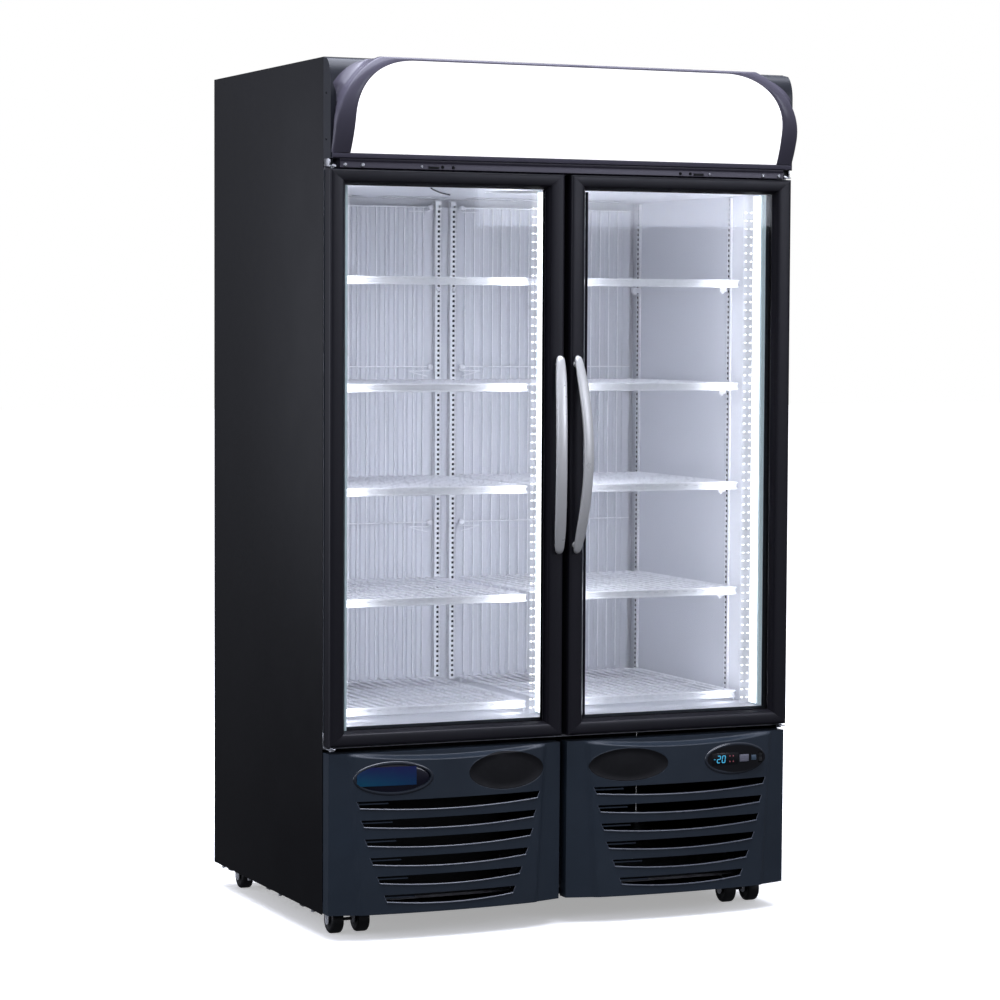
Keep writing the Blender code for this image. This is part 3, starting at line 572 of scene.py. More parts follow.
# -------------------------------------------------------------------- cabinet
def build_side_panels():
    for side, name in SIDES:
        bm = bmesh.new()
        side_block(bm, side, HALF - 0.0015, HALF - 0.0002, FRONT, BACK - 0.0002, PANEL_BOTTOM,
                   HEIGHT - 0.0002, 0.0006)
        piece("%s_side_sheet" % name, bm, SIDE_PAINT, "cabinet", ["%s_side_panel" % name])
        bm = bmesh.new()
        for y in (FRONT + 0.08, FRONT + 0.30, FRONT + 0.52, BACK - 0.05):
            turned(bm, [(0.0045, 0.0), (0.0045, 0.006), (0.0030, 0.0075), (0.0, 0.0078)],
                   (side * (HALF - 0.008), y, PANEL_BOTTOM - 0.0075), "Z", 6)
        for y in (FRONT + 0.13, FRONT + 0.36, BACK - 0.12):
            side_block(bm, side, HALF - 0.012, HALF - 0.002, y, y + 0.022, PANEL_BOTTOM - 0.004,
                       PANEL_BOTTOM + 0.002, 0.0008)
        piece("%s_base_bolts" % name, bm, ZINC, "cabinet")


def build_back_details():
    repaint("top_and_back_panel", TOP_PAINT)
    bm = bmesh.new()
    edge, just_out = 0.022, BACK + 0.0001
    for z in (0.10, 0.45, 0.80, 1.15, 1.50, 1.85, HEIGHT - 0.03):
        for x in (-HALF + edge, HALF - edge):
            screw_head(bm, (x, just_out, z), "Y", 0.0048, 1)
    for x in (-0.40, -0.20, 0.0, 0.20, 0.40):
        screw_head(bm, (x, just_out, HEIGHT - edge), "Y", 0.0048, 1)
        screw_head(bm, (x, just_out, 0.085), "Y", 0.0048, 1)
    piece("back_screws", bm, ZINC, "cabinet")

    bm = bmesh.new()
    rows, pitch, first = 7, 0.034, 0.130
    for row in range(rows):
        z = first + pitch * row + 0.014
        hood = [(BACK, z + 0.004), (BACK, z - 0.001), (BACK + 0.0045, z - 0.008),
                (BACK + 0.0055, z - 0.008), (BACK + 0.0035, z + 0.001)]
        prism(bm, hood, "X", -0.402, 0.402)
    # raised seam round the louvred hatch
    seam, hatch_half, hatch_foot, hatch_top = 0.0016, 0.47, 0.100, 0.4135
    block(bm, (-hatch_half, BACK, 0.410), (hatch_half, BACK + seam, hatch_top), 0.0006)
    for x in (-hatch_half, hatch_half):
        block(bm, (x - 0.0018, BACK, hatch_foot), (x + 0.0018, BACK + seam, hatch_top), 0.0006)
    piece("back_louvres", bm, TOP_PAINT, "cabinet")

    # air screen inside the louvres
    bm = bmesh.new()
    block(bm, (-0.52, BACK - 0.0060, 0.070), (0.52, BACK - 0.0045, 0.430))
    piece("back_air_screen", bm, SCREEN_BLACK, "cabinet")

    bm = bmesh.new()
    for x in (-0.45, -0.15, 0.15, 0.45):
        screw_head(bm, (x, just_out, 0.398), "Y", 0.0042, 1)
    for x in (-HALF + 0.03, 0.0, HALF - 0.03):
        for y in (FRONT + 0.05, BACK - 0.03):
            screw_head(bm, (x, y, HEIGHT), "Z", 0.0042, 1)
    piece("panel_screws", bm, ZINC, "cabinet")


def build_liner():
    repaint("insulated_liner", LINER)
    repaint("base_frame", GALVANISED)
    # dark breaker trim round the front of the cold space, where the door seals meet the cabinet
    bm = bmesh.new()
    face, thick = FRONT - 0.0004, 0.0008
    x_out, z_low, z_high = HALF - 0.0022, DOOR_BOTTOM - 0.003, DOOR_TOP - 0.002
    x_in = CAVITY_HALF - 0.0006
    z_in_low, z_in_high = CAVITY_FLOOR + 0.0004, CAVITY_TOP - 0.0008
    block(bm, (-x_out, face, z_low), (x_out, face + thick, z_in_low), 0.0003, 1)
    block(bm, (-x_out, face, z_in_high), (x_out, face + thick, z_high), 0.0003, 1)
    for side, _ in SIDES:
        side_block(bm, side, x_in, x_out, face, face + thick, z_in_low, z_in_high, 0.0003, 1)
    piece("breaker_trim", bm, BREAKER_TRIM, "cabinet")


def build_base_pan():
    """Pressed drip pan that closes the machine compartment's floor between the side panels."""
    bm = bmesh.new()
    edge, z = HALF - 0.012, PANEL_BOTTOM + 0.0060
    block(bm, (-edge, FRONT + 0.004, z), (edge, BACK - 0.010, z + 0.0012), 0.0004, 1)
    for x in (-0.38, 0.38):
        block(bm, (x - 0.006, FRONT + 0.03, z + 0.0010), (x + 0.006, BACK - 0.04, z + 0.0045), 0.0015)
    piece("base_pan", bm, TOP_PAINT, "cabinet")


def build_mullion():
    box_low, box_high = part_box("center_mullion")
    bm = bmesh.new()
    block(bm, (box_low.x, FRONT + 0.0010, box_low.z), (box_high.x, box_high.y, box_high.z), 0.002)
    piece("mullion_body", bm, MULLION_WHITE, "cabinet", ["center_mullion"])
    bm = bmesh.new()
    block(bm, (box_low.x + 0.001, FRONT - 0.0002, box_low.z),
          (box_high.x - 0.001, FRONT + 0.004, box_high.z), 0.0004)
    piece("mullion_seal_face", bm, RUBBER, "cabinet")


# ------------------------------------------------------------------- interior
WIRE_PITCH = 0.0253
GUARD_Y = DUCT_FRONT + 0.0010
GUARD_ROWS = (1.6955, 1.2939, 0.9006)


def build_duct():
    box_low, box_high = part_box("rear_duct_panel")
    bm = bmesh.new()
    first = 0.066
    width, flank, rise = 0.0055, 0.0035, 0.0030
    flat_y = DUCT_FRONT + 0.0065
    count = int((box_high.x - first) / WIRE_PITCH)
    ridges = [first + k * WIRE_PITCH for k in range(count)]
    outline = [(box_low.x, box_high.y), (box_low.x, flat_y)]
    for x in [-r for r in reversed(ridges)] + ridges:
        outline += [(x - width - flank, flat_y), (x - width, flat_y - rise),
                    (x + width, flat_y - rise), (x + width + flank, flat_y)]
    outline += [(box_high.x, flat_y), (box_high.x, box_high.y)]
    prism(bm, outline, "Z", box_low.z, box_high.z)
    piece("ribbed_duct_panel", bm, DUCT_WHITE, "cabinet", ["rear_duct_panel"], smooth=20)

    # wire guards that keep goods off the duct
    bm = bmesh.new()
    radius, sides = 0.0017, 6
    guard_inner, guard_outer = 0.046, 0.522
    for side, _ in SIDES:
        for x in ridges:
            if x < guard_outer:
                wire_x = side * (x - 0.0085)
                tube(bm, [(wire_x, GUARD_Y, 0.515), (wire_x, GUARD_Y, GUARD_ROWS[0])], radius, sides)
        for z in GUARD_ROWS:
            y = GUARD_Y - 2 * radius
            tube(bm, [(side * guard_inner, y, z), (side * guard_outer, y, z)], radius, sides)
            # a return loop along the inner three bars
            half_turn = arc((0.0, z - 0.0055), (0.0055, 0.0055), 90, -90, 8)
            bend = [(side * (guard_inner - u), y, v) for u, v in half_turn]
            bend_end = (side * (guard_inner + 0.052), y, z - 0.011)
            tube(bm, bend + [bend_end], radius, sides)
            if z != GUARD_ROWS[0]:
                low_return = [bend_end, (side * (guard_inner + 0.020), y, z - 0.020),
                              (side * guard_inner, y, z - 0.024)]
                tube(bm, low_return, radius * 0.8, sides)
    piece("rear_wire_guards", bm, WIRE, "cabinet")

    bm = bmesh.new()
    knob = [(0.0, -0.0075), (0.0045, -0.0070), (0.0070, -0.0045), (0.0075, 0.0), (0.0060, 0.006),
            (0.0, 0.006)]
    for side, _ in SIDES:
        for z in GUARD_ROWS:
            turned(bm, knob, (side * (0.047 if side > 0 else 0.040), GUARD_Y - 0.004, z - 0.001), "Y", 18)
    piece("guard_knobs", bm, CLIP_WHITE, "cabinet")


def slotted_post(bm, centre, width_dir, out_dir, width, z0, z1, depth, middle_post):
    """A U-shaped shelf post with a column of slots through its face.

    centre is on the wall behind the post, width_dir runs across its face and out_dir points into the room.
    """
    width_dir, out_dir = Vector(width_dir), Vector(out_dir)
    centre = Vector(centre)
    pitch, slot_tall = 0.0125, 0.0060
    skin = 0.0012

    def bar(u0, u1, w0, w1, low_z, high_z):
        a = centre + width_dir * u0 + out_dir * w0
        b = centre + width_dir * u1 + out_dir * w1
        corner_low = (min(a.x, b.x), min(a.y, b.y), low_z)
        corner_high = (max(a.x, b.x), max(a.y, b.y), high_z)
        block(bm, corner_low, corner_high)

    half = width / 2
    left, right = (-half * 0.18, half * 0.62) if middle_post else (-half * 0.70, half * 0.55)
    for u0, u1 in ((-half, -half + skin), (half - skin, half)):
        bar(u0, u1, 0.0, depth, z0, z1)
    bar(-half, left, depth - skin, depth, z0, z1)
    bar(right, half, depth - skin, depth, z0, z1)
    count = int((z1 - z0) / pitch)
    for k in range(count):
        z = z0 + k * pitch
        bar(left, right, depth - skin, depth, z, z + pitch - slot_tall)
    bar(left, right, depth - skin, depth, z0 + count * pitch, z1)


def build_standards():
    bm = bmesh.new()
    dark = bmesh.new()
    box_low, box_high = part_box("rear_center_standard")
    for x in (-0.0205, 0.0205):
        depth = DUCT_FRONT + 0.0035 - box_low.y
        post_top = min(box_high.z + 0.020, CAVITY_TOP - 0.004)
        slotted_post(bm, (x, DUCT_FRONT + 0.0035, 0), (1, 0, 0), (0, -1, 0), 0.0175, box_low.z,
                     post_top, depth, True)
        block(dark, (x - 0.0070, DUCT_FRONT - 0.0025, box_low.z + 0.001),
              (x + 0.0070, DUCT_FRONT - 0.0015, box_high.z - 0.001))
    piece("rear_center_posts", bm, WIRE, "cabinet", ["rear_center_standard"])
    for side, name in SIDES:
        for place in ("front", "rear"):
            node = "%s_%s_standard" % (name, place)
            box_low, box_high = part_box(node)
            y = (box_low.y + box_high.y) / 2
            width = box_high.y - box_low.y
            wall = side * CAVITY_HALF
            bm = bmesh.new()
            depth = box_high.x - box_low.x
            post_top = CAVITY_TOP - 0.004
            slotted_post(bm, (wall, y, 0), (0, 1, 0), (-side, 0, 0), width, box_low.z, post_top,
                         depth, False)
            piece("%s_%s_post" % (name, place), bm, WIRE, "cabinet", [node])
            xs = sorted((wall - side * (depth - 0.0025), wall - side * (depth - 0.0016)))
            block(dark, (xs[0], y - width / 2 + 0.0014, box_low.z + 0.001),
                  (xs[1], y + width / 2 - 0.0014, post_top - 0.001))
    piece("post_shadow_strips", dark, SLOT_GREY, "cabinet")


def lamp_dots(bm, side, columns, y, z_low, z_high):
    """Rows of small lamps, each a soft bar wider than it is tall."""
    pitch, half_x, half_z = 0.0195, 0.0034, 0.0019
    count = int((z_high - z_low - 0.02) / pitch)
    for x in columns:
        for k in range(count):
            centre = (side * x, z_low + 0.014 + k * pitch)
            rings = []
            for share, lift in ((1.0, 0.0), (0.92, -0.0008), (0.6, -0.0014), (0.05, -0.0016)):
                outline = arc(centre, (half_x * share, half_z * share), 0, 330, 11, 2.6)
                rings.append([(u, y + lift, v) for u, v in outline])
            loft(bm, rings)


def build_lights():
    """Lamp strips face sideways into each opening, with clear wings that carry two rows of small lamps."""
    bar_low, bar_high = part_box("center_led_bar")
    z_low, z_high = CAVITY_FLOOR + 0.003, CAVITY_TOP - 0.003
    mullion = high("center_mullion").x
    glow, base, wings, dots = bmesh.new(), bmesh.new(), bmesh.new(), bmesh.new()
    block(base, (-mullion - 0.003, bar_low.y + 0.002, z_low), (mullion + 0.003, bar_high.y, z_high), 0.0015)
    for side, _ in SIDES:
        side_block(glow, side, mullion + 0.0003, mullion + 0.0030, FRONT + 0.0140, bar_high.y - 0.003,
                   z_low + 0.004, z_high - 0.004, 0.0010)
        side_block(wings, side, mullion + 0.0035, bar_high.x, bar_low.y + 0.0030, bar_low.y + 0.0045,
                   z_low, z_high)
        lamp_dots(dots, side, (mullion + 0.0062, mullion + 0.0164), bar_low.y + 0.0029, z_low, z_high)
    for side, name in SIDES:
        box_low, box_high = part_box("%s_led_bar" % name)
        wall = max(abs(box_low.x), abs(box_high.x))
        wing = min(abs(box_low.x), abs(box_high.x))
        face = wall - 0.0095
        side_block(base, side, face + 0.0012, wall, box_low.y, box_high.y, z_low, z_high, 0.0010)
        side_block(glow, side, face, face + 0.0010, box_low.y + 0.0085, box_high.y - 0.001,
                   z_low + 0.002, z_high - 0.002, 0.0004)
        side_block(wings, side, wing + 0.0005, face - 0.0008, box_high.y - 0.0035,
                   box_high.y - 0.0020, z_low, z_high)
        columns = (face - 0.0070, face - 0.0212) if side > 0 else (face - 0.0060,)
        lamp_dots(dots, side, columns, box_high.y - 0.0036, z_low, z_high)
    # the carriers' dim teal glow is painted light; the diffusers and dots are the lamps
    piece("led_carriers", base, LAMP_CARRIER_PAINTED_GLOW, "cabinet",
          ["center_led_bar", "left_led_bar", "right_led_bar"])
    piece("led_diffusers", glow, LED_GLOW, "cabinet")
    piece("led_wings", wings, LENS_CLEAR, "cabinet")
    piece("led_dots", dots, DOT_GLOW, "cabinet")


def build_shelf(name):
    """A coated wire shelf: front-to-back wires on cross bars, with a price rail along the front."""
    box_low, box_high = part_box(name)
    wire, cross = 0.0023, 0.0030
    top = box_high.z - wire
    x0, x1 = box_low.x + 0.003, box_high.x - 0.003
    y0, y1 = box_low.y + 0.004, box_high.y - 0.003
    bm = bmesh.new()
    count = round((x1 - x0) / 0.026)
    for k in range(count + 1):
        x = x0 + (x1 - x0) * k / count
        tube(bm, [(x, y0, top), (x, y1, top)], wire, 6)
    for share in (0.06, 0.36, 0.66, 0.985):
        y = y0 + (y1 - y0) * share
        tube(bm, [(x0, y, top - wire - cross + 0.001), (x1, y, top - wire - cross + 0.001)], cross, 6)
    for x in (x0, x1):
        tube(bm, [(x, y0, top - 0.002), (x, y1, top - 0.002)], cross, 8)
    deep = box_high.z - box_low.z > 0.021
    if deep:
        for x in (x0 + 0.0015, x1 - 0.0015):
            for y in (y0 + 0.004, y1 - 0.006):
                tube(bm, [(x, y, box_low.z + 0.001), (x, y, top)], cross, 8)
    piece(name + "_wires", bm, WIRE, "cabinet", [name])

    # price rail: upper and lower beads with a slotted web between them
    bm = bmesh.new()
    rail_low = box_high.z - 0.0190
    front = box_low.y
    bead = 0.0026
    upper, lower = box_high.z - bead, rail_low + bead
    for z in (upper, lower):
        tube(bm, [(x0 - 0.002, front + bead, z), (x1 + 0.002, front + bead, z)], bead, 10)
    slot_z, slot_tall, slot_wide, pitch = upper - 0.0058, 0.0016, 0.0120, 0.0260
    back_y = front + 0.0030
    block(bm, (x0, front + 0.0012, slot_z + slot_tall), (x1, back_y, upper), 0)
    block(bm, (x0, front + 0.0012, lower), (x1, back_y, slot_z), 0)
    x = x0
    while x < x1:
        block(bm, (x, front + 0.0012, slot_z),
              (min(x + pitch - slot_wide, x1), back_y, slot_z + slot_tall), 0)
        x += pitch
    piece(name + "_price_rail", bm, WIRE, "cabinet")
    if not deep:
        bm = bmesh.new()
        side = 1 if x0 > 0 else -1
        outer = max(abs(box_low.x), abs(box_high.x))
        for y in (FRONT + 0.176, FRONT + 0.655):
            side_block(bm, side, outer - 0.020, outer - 0.001, y - 0.006, y + 0.006, rail_low - 0.010,
                       rail_low + 0.004, 0.002)
            turned(bm, [(0.0, -0.006), (0.004, -0.005), (0.0055, 0.0), (0.004, 0.005), (0.0, 0.006)],
                   (side * (outer - 0.012), y, rail_low - 0.010), "Y", 14)
        turned(bm, [(0.0, -0.005), (0.0045, -0.004), (0.0062, 0.0), (0.0045, 0.003), (0.0, 0.003)],
               (0.0215 * side, DUCT_FRONT - 0.012, rail_low - 0.004), "Y", 14)
        piece(name + "_clips", bm, CLIP_WHITE, "cabinet")


def build_ceiling():
    repaint("evaporator_cover", LINER)
    # thin sensor lead clipped under the cover
    bm = bmesh.new()
    z = CAVITY_TOP - 0.0022
    lead = [(-0.300, 0.060), (-0.258, 0.144), (-0.218, 0.220), (-0.177, 0.292), (-0.145, 0.342),
            (-0.113, 0.390)]
    tube(bm, [(x, FRONT + y, z) for x, y in lead], 0.0016, 8)
    piece("sensor_lead", bm, SLOT_GREY, "cabinet")
    bm = bmesh.new()
    for x in (-0.50, -0.17, 0.17, 0.50):
        for y in (FRONT + 0.03, FRONT + 0.68):
            screw_head(bm, (x, y, CAVITY_TOP - 0.0001), "Z", 0.0042)
    piece("ceiling_screws", bm, ZINC, "cabinet")


def build_interior():
    build_duct()
    build_standards()
    build_lights()
    for node in sorted(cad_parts):
        if "_shelf_" in node or node.endswith("_floor_rack"):
            build_shelf(node)
    build_ceiling()


# ----------------------------------------------------------------------- sign
ARCH_X = 0.586
FOOT_X = 0.574
ARCH_CENTRE, ARCH_RADII = (0.400, 1.840), (0.186, 0.175)
WINDOW_HALF = high("sign_face").x
WINDOW_CENTRE, WINDOW_RADII, WINDOW_POWER = (0.390, 1.860), (0.1505, 0.132), 2.2
SHELL_TOP = HEIGHT - 0.0008
ROLL_START, ROLL_BACK = 1.940, FRONT - 0.008


def sign_front(z):
    """How far forward the sign stands at a height: a bulge on a leaning chord."""
    foot, crest, bulge = 0.052, 0.070, 0.025
    share = min(1.0, max(0.0, (z - SIGN_BOTTOM) / (HEIGHT - SIGN_BOTTOM)))
    return FRONT - foot - (crest - foot) * share - 4 * bulge * share * (1 - share)


def shell_front(z):
    """Front of the shell behind the moulding: flat, then rolled back towards the cabinet's top."""
    rise = min(0.93, max(0.0, (z - ROLL_START) / (SHELL_TOP - ROLL_START)))
    return ROLL_BACK - (ROLL_BACK - DOOR_FACE) * math.sqrt(1 - rise * rise)


def sign_edges():
    """Matching points of window edge, moulding crown and foot, from the sign's foot to the middle."""
    inner, crown, foot = [], [], []
    top = HEIGHT - 0.0006
    upright, steps, across = 8, 40, 6
    for k in range(upright):
        share = k / upright
        inner.append((WINDOW_HALF + (WINDOW_CENTRE[0] + WINDOW_RADII[0] - WINDOW_HALF) * share,
                      SIGN_BOTTOM + (WINDOW_CENTRE[1] - SIGN_BOTTOM) * share))
        z = SIGN_BOTTOM + (ARCH_CENTRE[1] - SIGN_BOTTOM) * share
        crown.append((ARCH_X, z))
        foot.append((FOOT_X + 0.0105 * max(0.0, 1 - 3 * share), z))
    reach = math.degrees(math.asin((top - ARCH_CENTRE[1]) / ARCH_RADII[1]))
    inner += arc(WINDOW_CENTRE, WINDOW_RADII, 0, 90, steps, WINDOW_POWER)
    crown += arc(ARCH_CENTRE, ARCH_RADII, 0, reach, steps)
    straight, turn, bend_start, corner_z = 14, 6, 1.905, 1.860
    foot += [(FOOT_X, ARCH_CENTRE[1] + (bend_start - ARCH_CENTRE[1]) * k / straight)
             for k in range(straight)]
    corner = arc((0.455, corner_z), (0.150, top - corner_z), 32.5, 88, steps - straight - turn, 2.15)
    for k in range(turn):
        share = k / turn
        blend = share * share
        foot.append((FOOT_X + (corner[0][0] - FOOT_X) * blend,
                     bend_start + (corner[0][1] - bend_start) * share))
    foot += corner
    for k in range(1, across + 1):
        share = 1 - k / across
        inner.append((inner[upright + steps][0] * share, WINDOW_CENTRE[1] + WINDOW_RADII[1]))
        crown.append((crown[upright + steps][0] * share, top))
        foot.append((foot[upright + steps][0] * share, top))
    return inner, crown, foot


def moulding_section(inner, crown, foot):
    """One slice of the sign moulding: window lip, face band, rounded crown and coved outside."""
    (xi, zi), (xo, zo), (xf, zf) = inner, crown, foot
    length = math.hypot(xo - xi, zo - zi)
    lip, front = sign_front(zi), sign_front(zo)
    base = shell_front(zf) - 0.0004
    edge = min(0.0060, length * 0.3) / length
    wall_top = min(front + 0.0090, base - 0.0004)

    def band(share, y):
        return (xi + (xo - xi) * share, y, zi + (zo - zi) * share)

    slope = front - lip
    points = [band(0.0, lip + 0.004), band(0.0, lip - 0.0010), band(0.04, lip - 0.0018 + 0.04 * slope),
              band(0.30, lip - 0.0026 + 0.30 * slope), band(0.62, lip - 0.0018 + 0.62 * slope),
              band(1 - edge, front + 0.0002), band(1 - 0.70 * edge, front + 0.0009),
              band(1 - 0.40 * edge, front + 0.0023), band(1 - 0.15 * edge, front + 0.0044)]
    cove = 9
    for k in range(cove + 1):
        share = k / cove
        out = share ** 2.4
        points.append((xo + (xf - xo) * out, wall_top + (base - wall_top) * (1 - (1 - share) ** 1.5),
                       zo + (zf - zo) * out))
    points += [(xf, base + 0.0012, zf), (xi, base + 0.0012, min(zi, zf))]
    limit = HALF - 0.0004
    return [(min(x, limit), y, min(z, HEIGHT - 0.0006)) for x, y, z in points]


def build_sign():
    half = [moulding_section(*places) for places in zip(*sign_edges())]
    rings = half + [[(-x, y, z) for x, y, z in ring] for ring in reversed(half[:-1])]
    bm = bmesh.new()
    loft(bm, rings)
    # foot flange under the window
    lip = sign_front(SIGN_BOTTOM)
    flange = [(DOOR_FACE + 0.0005, SIGN_BOTTOM - 0.0125), (lip + 0.0040, SIGN_BOTTOM - 0.0125),
              (lip + 0.0006, SIGN_BOTTOM - 0.0105), (lip - 0.0008, SIGN_BOTTOM - 0.0060),
              (lip - 0.0010, SIGN_BOTTOM - 0.0012), (lip + 0.003, SIGN_BOTTOM),
              (DOOR_FACE + 0.0005, SIGN_BOTTOM)]
    prism(bm, flange, "X", -ARCH_X + 0.002, ARCH_X - 0.002)
    piece("sign_moulding", bm, BEZEL_GLOSS, "cabinet", ["sign_bezel"], smooth=40)

    # lit face, following the same bulge
    bm = bmesh.new()
    rows = 28
    rings = []
    corner = arc(WINDOW_CENTRE, WINDOW_RADII, 0, 90, 60, WINDOW_POWER)

    def half_width(z):
        if z <= WINDOW_CENTRE[1]:
            share = (z - SIGN_BOTTOM) / (WINDOW_CENTRE[1] - SIGN_BOTTOM)
            return WINDOW_HALF + (WINDOW_CENTRE[0] + WINDOW_RADII[0] - WINDOW_HALF) * share
        rise = min(1.0, (z - WINDOW_CENTRE[1]) / WINDOW_RADII[1])
        return WINDOW_CENTRE[0] + WINDOW_RADII[0] * (1 - rise ** WINDOW_POWER) ** (1 / WINDOW_POWER)

    columns = 24
    for k in range(rows + 1):
        share = math.sin(math.pi / 2 * k / rows)
        z = SIGN_BOTTOM + (corner[-1][1] - 0.0002 - SIGN_BOTTOM) * share
        w = half_width(z) - 0.0002
        y = sign_front(z) + 0.0012
        front = [(w * (-1 + 2 * j / columns), y, z) for j in range(columns + 1)]
        rings.append(front + [(x, y + 0.003, z) for x, y, z in reversed(front)])
    loft(bm, rings)
    piece("sign_panel", bm, SIGN_GLOW, "cabinet", ["sign_face"])

    # shell behind the moulding: flat front wedges that roll back to the top, and the side strips
    bm = bmesh.new()
    crown = arc((ROLL_BACK, ROLL_START), (ROLL_BACK - DOOR_FACE, SHELL_TOP - ROLL_START), 180, 112, 28)
    notch = 0.0235
    rail_low, rail_high = DOOR_TOP + 0.0014, SIGN_BOTTOM - 0.0130
    back = FRONT - 0.0005
    prism(bm, [(back, rail_high), (DOOR_FACE, rail_high)] + crown + [(back, SHELL_TOP)], "X",
          -HALF + 0.0003, HALF - 0.0003)
    piece("sign_shell", bm, SHELL_BLACK, "cabinet", ["sign_housing"], smooth=40)
    bm = bmesh.new()
    rail_x = HALF - notch
    face = DOOR_FACE + 0.0008
    rail = [(back, rail_low), (face + 0.0010, rail_low), (face, rail_low + 0.0010),
            (face, rail_low + 0.0120), (face + 0.0006, rail_low + 0.0140), (face - 0.0004, rail_low + 0.0165),
            (face - 0.0004, rail_high - 0.0002), (back, rail_high - 0.0002)]
    prism(bm, rail, "X", -rail_x, rail_x)
    # lips of the lock recess over each door
    for side, _ in SIDES:
        z = rail_low + 0.0080
        side_block(bm, side, 0.3220, 0.3530, DOOR_FACE + 0.0003, DOOR_FACE + 0.003, z - 0.0006,
                   z + 0.0006, 0.0004)
    piece("header_rail", bm, RAIL_BLACK, "cabinet")

    silver, dark = bmesh.new(), bmesh.new()
    z = rail_low + 0.0065
    for side, _ in SIDES:
        for x in (0.5524, 0.5102):
            screw_head(silver, (side * x, face, z), "Y", 0.0052)
        screw_head(silver, (side * 0.3668, face, z), "Y", 0.0032)
        for x in (0.3158, 0.2896):
            screw_head(dark, (side * x, face, z), "Y", 0.0038)
        # a near-black patch under each lock lip, in the slot shade plastic: painted shade for the lock recess
        side_block(dark, side, 0.3240, 0.3510, DOOR_FACE + 0.0005, DOOR_FACE + 0.002, z - 0.0045,
                   z + 0.0005, 0.0005)
        for height in (1.918, 1.815):
            screw_head(dark, (side * (HALF - 0.0004), FRONT - 0.0188, height), "X", 0.0030, side)
    piece("rail_screws_silver", silver, ZINC, "cabinet")
    piece("rail_black_screws_and_recess_shade", dark, SLOT_BLACK, "cabinet")


# ---------------------------------------------------------------------- doors
def frame_ring(x0, x1, z0, z1, section):
    """Corner rings of a rectangular frame; section lists (inset from sides, inset from top and bottom, y)."""
    return [[(x0 + u if left else x1 - u, y, z0 + v if lowest else z1 - v) for u, v, y in section]
            for left, lowest in ((True, True), (False, True), (False, False), (True, False))]


def mitred_frame(bm, x0, x1, z0, z1, section, joint=0.00012):
    """Four bars that meet at mitres with a hairline gap."""
    rings = frame_ring(x0, x1, z0, z1, section)
    for k in range(4):
        first, second = rings[k], rings[(k + 1) % 4]
        along = (Vector(second[0]) - Vector(first[0])).normalized()
        loft(bm, [[Vector(p) + along * joint for p in first], [Vector(p) - along * joint for p in second]])


